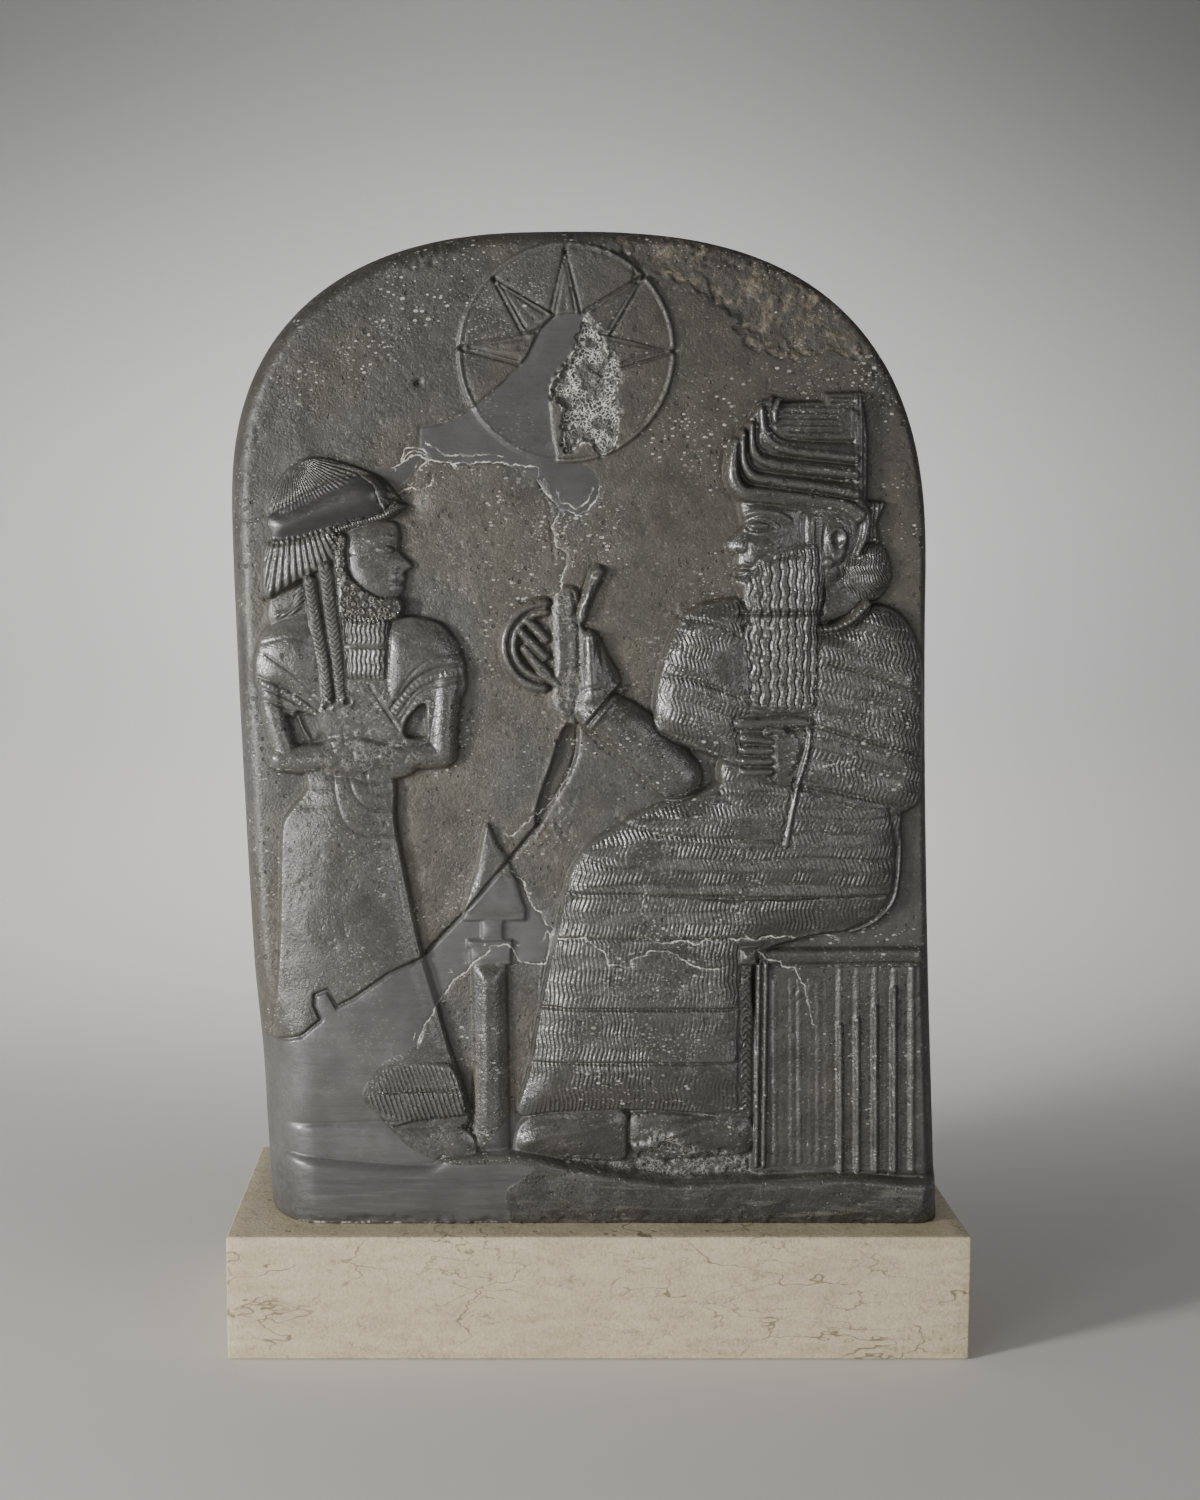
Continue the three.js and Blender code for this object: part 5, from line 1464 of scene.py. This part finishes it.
def pale_limestone(settings):
    finish = Finish("pale_limestone")
    stone = settings.colour
    clouds = finish.noise(0.07, 4.0, 0.6)
    grain = finish.noise(0.0022, 3.0, 0.65).step(0.32, 0.68)
    bedded = finish.noise(0.009, 4.0, 0.65, where=finish.moved((0.35, 0.35, 1.3))).step(0.36, 0.66)
    flat = finish.moved((0.6, 0.6, 1.6))
    web = finish.cells(0.075, where=finish.pushed(flat, 0.06, 0.03), feature="DISTANCE_TO_EDGE")
    vein = (1.0 - web.step(0.002, 0.010)) * finish.noise(0.05, 3.0, 0.6).step(0.42, 0.54)
    fine = finish.cells(0.034, where=finish.pushed(flat, 0.028, 0.012), feature="DISTANCE_TO_EDGE")
    hair = (1.0 - fine.step(0.004, 0.022)) * finish.noise(0.06, 2.0).step(0.50, 0.62)
    holes = finish.spots(0.0075, 0.5, 0.30) * finish.noise(0.02, 2.0).step(0.40, 0.60)
    colour = finish.mixed(clouds.step(0.3, 0.72), shade(stone, 0.88, 0.04), shade(stone, 1.08, 0.0))
    colour = finish.mixed(grain * 0.75, colour, shade(stone, 0.68, 0.04))
    speck = finish.noise(0.005, 3.0, 0.75).step(0.54, 0.64) * finish.noise(0.04, 2.0).step(0.3, 0.55)
    colour = finish.mixed(speck * 0.65, colour, shade(stone, 0.46, 0.08))
    colour = finish.mixed(bedded * 0.4, colour, shade(stone, 1.25, -0.02))
    colour = finish.mixed(vein.larger(hair * 0.8) * 0.85, colour, shade(stone, 0.32, 0.13))
    colour = finish.mixed(holes * 0.75, colour, shade(stone, 0.3, 0.08))
    roughness = 0.62 + (grain - 0.5) * 0.3
    normal = finish.bump(clouds * 0.5 + grain * 0.3 + bedded * 0.3 - holes * 1.6, 0.0008, 0.5)
    return finish.surface(colour, roughness, normal)


def paper(settings):
    """The floor's pale colour, which turns into the backdrop's grey, with painted shade that darkens the
    backdrop upwards.
    """
    finish = Finish("paper")
    height = Value(finish, finish.node("ShaderNodeSeparateXYZ", {}, {"Vector": finish.place}).outputs["Z"])
    colour = finish.mixed(height.step(0.0, 0.35), rgba(settings.floor), rgba(settings.backdrop))
    # Painted shade: the backdrop darkens towards the top.
    colour = finish.mixed(height.step(0.5, 1.3), colour, shade(settings.backdrop, 0.36))
    return finish.surface(colour, 0.9)


def made_piece(name, mesh, material):
    """A bmesh as an object of the scene, with its material."""
    data = bpy.data.meshes.new(name)
    mesh.to_mesh(data)
    mesh.free()
    piece = bpy.data.objects.new(name, data)
    bpy.context.collection.objects.link(piece)
    data.materials.append(material)
    return piece


def lamp(name, at, target, size, power, colour=(1.0, 1.0, 1.0), spread=180):
    data = bpy.data.lights.new(name, "AREA")
    data.shape = "DISK"
    data.size = size
    data.energy = power
    data.color = colour
    data.spread = math.radians(spread)
    light = bpy.data.objects.new(name, data)
    light.location = at
    light.rotation_euler = (Vector(target) - Vector(at)).to_track_quat("-Z", "Y").to_euler()
    bpy.context.collection.objects.link(light)


class SteleStoneSettings(bpy.types.PropertyGroup):
    pitch: bpy.props.FloatProperty(name="Carving pitch",
                                   description="Spacing of the points of the carving, in millimetres",
                                   default=0.8, min=0.4, max=4.0)
    triangles: bpy.props.IntProperty(name="Triangles",
                                     description="How many triangles the carved stone keeps",
                                     default=196000,
                                     min=20000, max=199000)
    colour: bpy.props.FloatVectorProperty(name="Stone", description="Colour of the bare stone",
                                          subtype="COLOR", size=3,
                                          default=(0.0628, 0.0610, 0.0558), min=0.0, max=1.0)
    fill_colour: bpy.props.FloatVectorProperty(name="Repair fill",
                                               description="Colour of the smooth repairs", subtype="COLOR",
                                               size=3, default=(0.068, 0.0675, 0.065), min=0.0, max=1.0)


class StelePlinthSettings(bpy.types.PropertyGroup):
    arris: bpy.props.FloatProperty(name="Arris", description="Width of the worn edges", default=0.0015,
                                   min=0.0, max=0.01,
                                   unit="LENGTH", subtype="DISTANCE")
    colour: bpy.props.FloatVectorProperty(name="Limestone", description="Colour of the plinth",
                                          subtype="COLOR", size=3,
                                          default=(0.47, 0.405, 0.28), min=0.0, max=1.0)


class SteleStageSettings(bpy.types.PropertyGroup):
    floor: bpy.props.FloatVectorProperty(name="Floor", description="Colour of the floor", subtype="COLOR",
                                         size=3,
                                         default=(0.62, 0.60, 0.57), min=0.0, max=1.0)
    backdrop: bpy.props.FloatVectorProperty(name="Backdrop", description="Colour of the backdrop",
                                            subtype="COLOR", size=3,
                                            default=(0.46, 0.46, 0.46), min=0.0, max=1.0)
    key: bpy.props.FloatProperty(name="Key light", description="Power of the light from the left",
                                 default=68.0, min=0.0,
                                 unit="POWER")
    sheen: bpy.props.FloatProperty(name="Sheen light",
                                   description="Power of the low light that makes the stone gleam",
                                   default=16.0, min=0.0, unit="POWER")
    wash: bpy.props.FloatProperty(name="Backdrop light", description="Power of the light on the backdrop",
                                  default=9.0,
                                  min=0.0, unit="POWER")
    soft: bpy.props.FloatProperty(name="Soft light", description="Power of the light from the right",
                                  default=16.0, min=0.0,
                                  unit="POWER")


class STELE_OT_carve_stone(bpy.types.Operator):
    """Carve the stone: its field, disc, figures, seat and ground, with their breaks and repairs"""

    bl_idname = "stele.carve_stone"
    bl_label = "Carve the stone"

    def execute(self, context):
        settings = context.scene.stele_stone
        relief = carve_face(settings.pitch * (1))
        mesh = build_stone(relief)
        bmesh.ops.recalc_face_normals(mesh, faces=mesh.faces)
        piece = made_piece("carved_stele", mesh, dark_stone(settings))
        piece.data.shade_smooth()
        thinned(piece, settings.triangles // (1))
        note_surface(piece, relief)
        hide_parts("stele")
        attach(piece, "root")
        return {"FINISHED"}


class STELE_OT_cut_plinth(bpy.types.Operator):
    """Cut the limestone plinth, with worn edges"""

    bl_idname = "stele.cut_plinth"
    bl_label = "Cut the plinth"

    def execute(self, context):
        settings = context.scene.stele_plinth
        size = PLINTH_HIGH - PLINTH_LOW
        mesh = bmesh.new()
        bmesh.ops.create_cube(mesh, size=1.0)
        bmesh.ops.scale(mesh, vec=size, verts=mesh.verts)
        bmesh.ops.translate(mesh, vec=(PLINTH_LOW + PLINTH_HIGH) / 2, verts=mesh.verts)
        bmesh.ops.bevel(mesh, geom=list(mesh.edges), offset=settings.arris, offset_type="OFFSET",
                        affect="EDGES", segments=3,
                        profile=0.5, material=-1)
        for cuts in (7, 5, 3):
            edges = [e for e in mesh.edges if e.calc_length() > 0.02]
            bmesh.ops.subdivide_edges(mesh, edges=edges, cuts=cuts, use_grid_fill=True)
        piece = made_piece("limestone_plinth", mesh, pale_limestone(settings))
        piece.data.shade_smooth()
        piece.data.set_sharp_from_angle(angle=math.radians(20))
        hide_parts("plinth")
        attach(piece, "root")
        return {"FINISHED"}


class STELE_OT_set_stage(bpy.types.Operator):
    """Lay the floor and backdrop, and place the lights and the camera"""

    bl_idname = "stele.set_stage"
    bl_label = "Set the stage"

    def execute(self, context):
        settings = context.scene.stele_stage
        mesh = bmesh.new()
        start = bmesh.ops.create_vert(mesh, co=(-4.0, -3.0, -0.0005))["vert"]
        edge = bmesh.ops.extrude_vert_indiv(mesh, verts=start)
        bmesh.ops.translate(mesh, vec=(8.0, 0, 0), verts=edge["verts"])
        edges, at = edge["edges"], (-3.0, -0.0005)
        bend = [(0.6 + 0.9 * math.sin(t), 0.9 - 0.9 * math.cos(t))
                for t in np.radians(np.arange(7.5, 91, 7.5))]
        for y, z in ((0.6, -0.0005), *bend, (1.5, 4.5)):
            verts, edges = extruded_ring(mesh, edges)
            bmesh.ops.translate(mesh, vec=(0, y - at[0], z - at[1]), verts=verts)
            edges = [e for e in edges if abs((e.verts[1].co - e.verts[0].co).x) > 1.0]
            at = (y, z)
        bmesh.ops.recalc_face_normals(mesh, faces=mesh.faces)
        sweep = made_piece("floor_and_backdrop", mesh, paper(settings))
        sweep.data.shade_smooth()

        lamp("key", (-1.95, -1.2, 0.55), (0, 0, 0.38), 0.45, settings.key, (1.0, 0.99, 0.97))
        lamp("sheen", (-1.2, -1.7, 0.22), (-0.1, 0, 0.35), 0.8, settings.sheen)
        lamp("soft", (1.5, -2.2, 0.55), (0, 0, 0.30), 1.4, settings.soft)
        lamp("wash", (0.0, 0.25, 1.7), (0.0, 1.5, 0.4), 0.8, settings.wash, spread=85)
        world = bpy.data.worlds.new("room")
        world.use_nodes = True
        world.node_tree.nodes["Background"].inputs["Color"].default_value = (0.95, 0.97, 1.0, 1.0)
        world.node_tree.nodes["Background"].inputs["Strength"].default_value = 0.2
        context.scene.world = world

        data = bpy.data.cameras.new("camera")
        data.sensor_fit = "VERTICAL"
        data.sensor_height = 36.0
        data.lens = data.sensor_height * FOCAL_LENGTH / PHOTO_HEIGHT
        data.shift_x = 0.0628
        data.clip_start = 0.01
        camera = bpy.data.objects.new("camera", data)
        camera.location = (-0.0585, -1.3114, 0.5143)
        camera.rotation_euler = (math.radians(90) - LOOK_DOWN, 0, 0)
        context.collection.objects.link(camera)
        context.scene.camera = camera
        return {"FINISHED"}


class STELE_PT_stele(bpy.types.Panel):
    bl_idname = "STELE_PT_stele"
    bl_label = "Relief stele"
    bl_space_type = "VIEW_3D"
    bl_region_type = "UI"
    bl_category = "Stele"

    def draw(self, context):
        scene = context.scene
        for operator, settings in ((STELE_OT_carve_stone, scene.stele_stone),
                                   (STELE_OT_cut_plinth, scene.stele_plinth),
                                   (STELE_OT_set_stage, scene.stele_stage)):
            box = self.layout.box()
            for name in settings.__annotations__:
                box.prop(settings, name)
            box.operator(operator.bl_idname)


CLASSES = (SteleStoneSettings, StelePlinthSettings, SteleStageSettings, STELE_OT_carve_stone,
           STELE_OT_cut_plinth,
           STELE_OT_set_stage, STELE_PT_stele)


def register():
    for made in CLASSES:
        bpy.utils.register_class(made)
    bpy.types.Scene.stele_stone = bpy.props.PointerProperty(type=SteleStoneSettings)
    bpy.types.Scene.stele_plinth = bpy.props.PointerProperty(type=StelePlinthSettings)
    bpy.types.Scene.stele_stage = bpy.props.PointerProperty(type=SteleStageSettings)


def unregister():
    del bpy.types.Scene.stele_stage, bpy.types.Scene.stele_plinth, bpy.types.Scene.stele_stone
    for made in reversed(CLASSES):
        bpy.utils.unregister_class(made)


def main():
    register()
    bpy.ops.stele.set_stage()
    bpy.ops.stele.carve_stone()
    bpy.ops.stele.cut_plinth()
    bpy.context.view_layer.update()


if __name__ == "__main__":
    main()
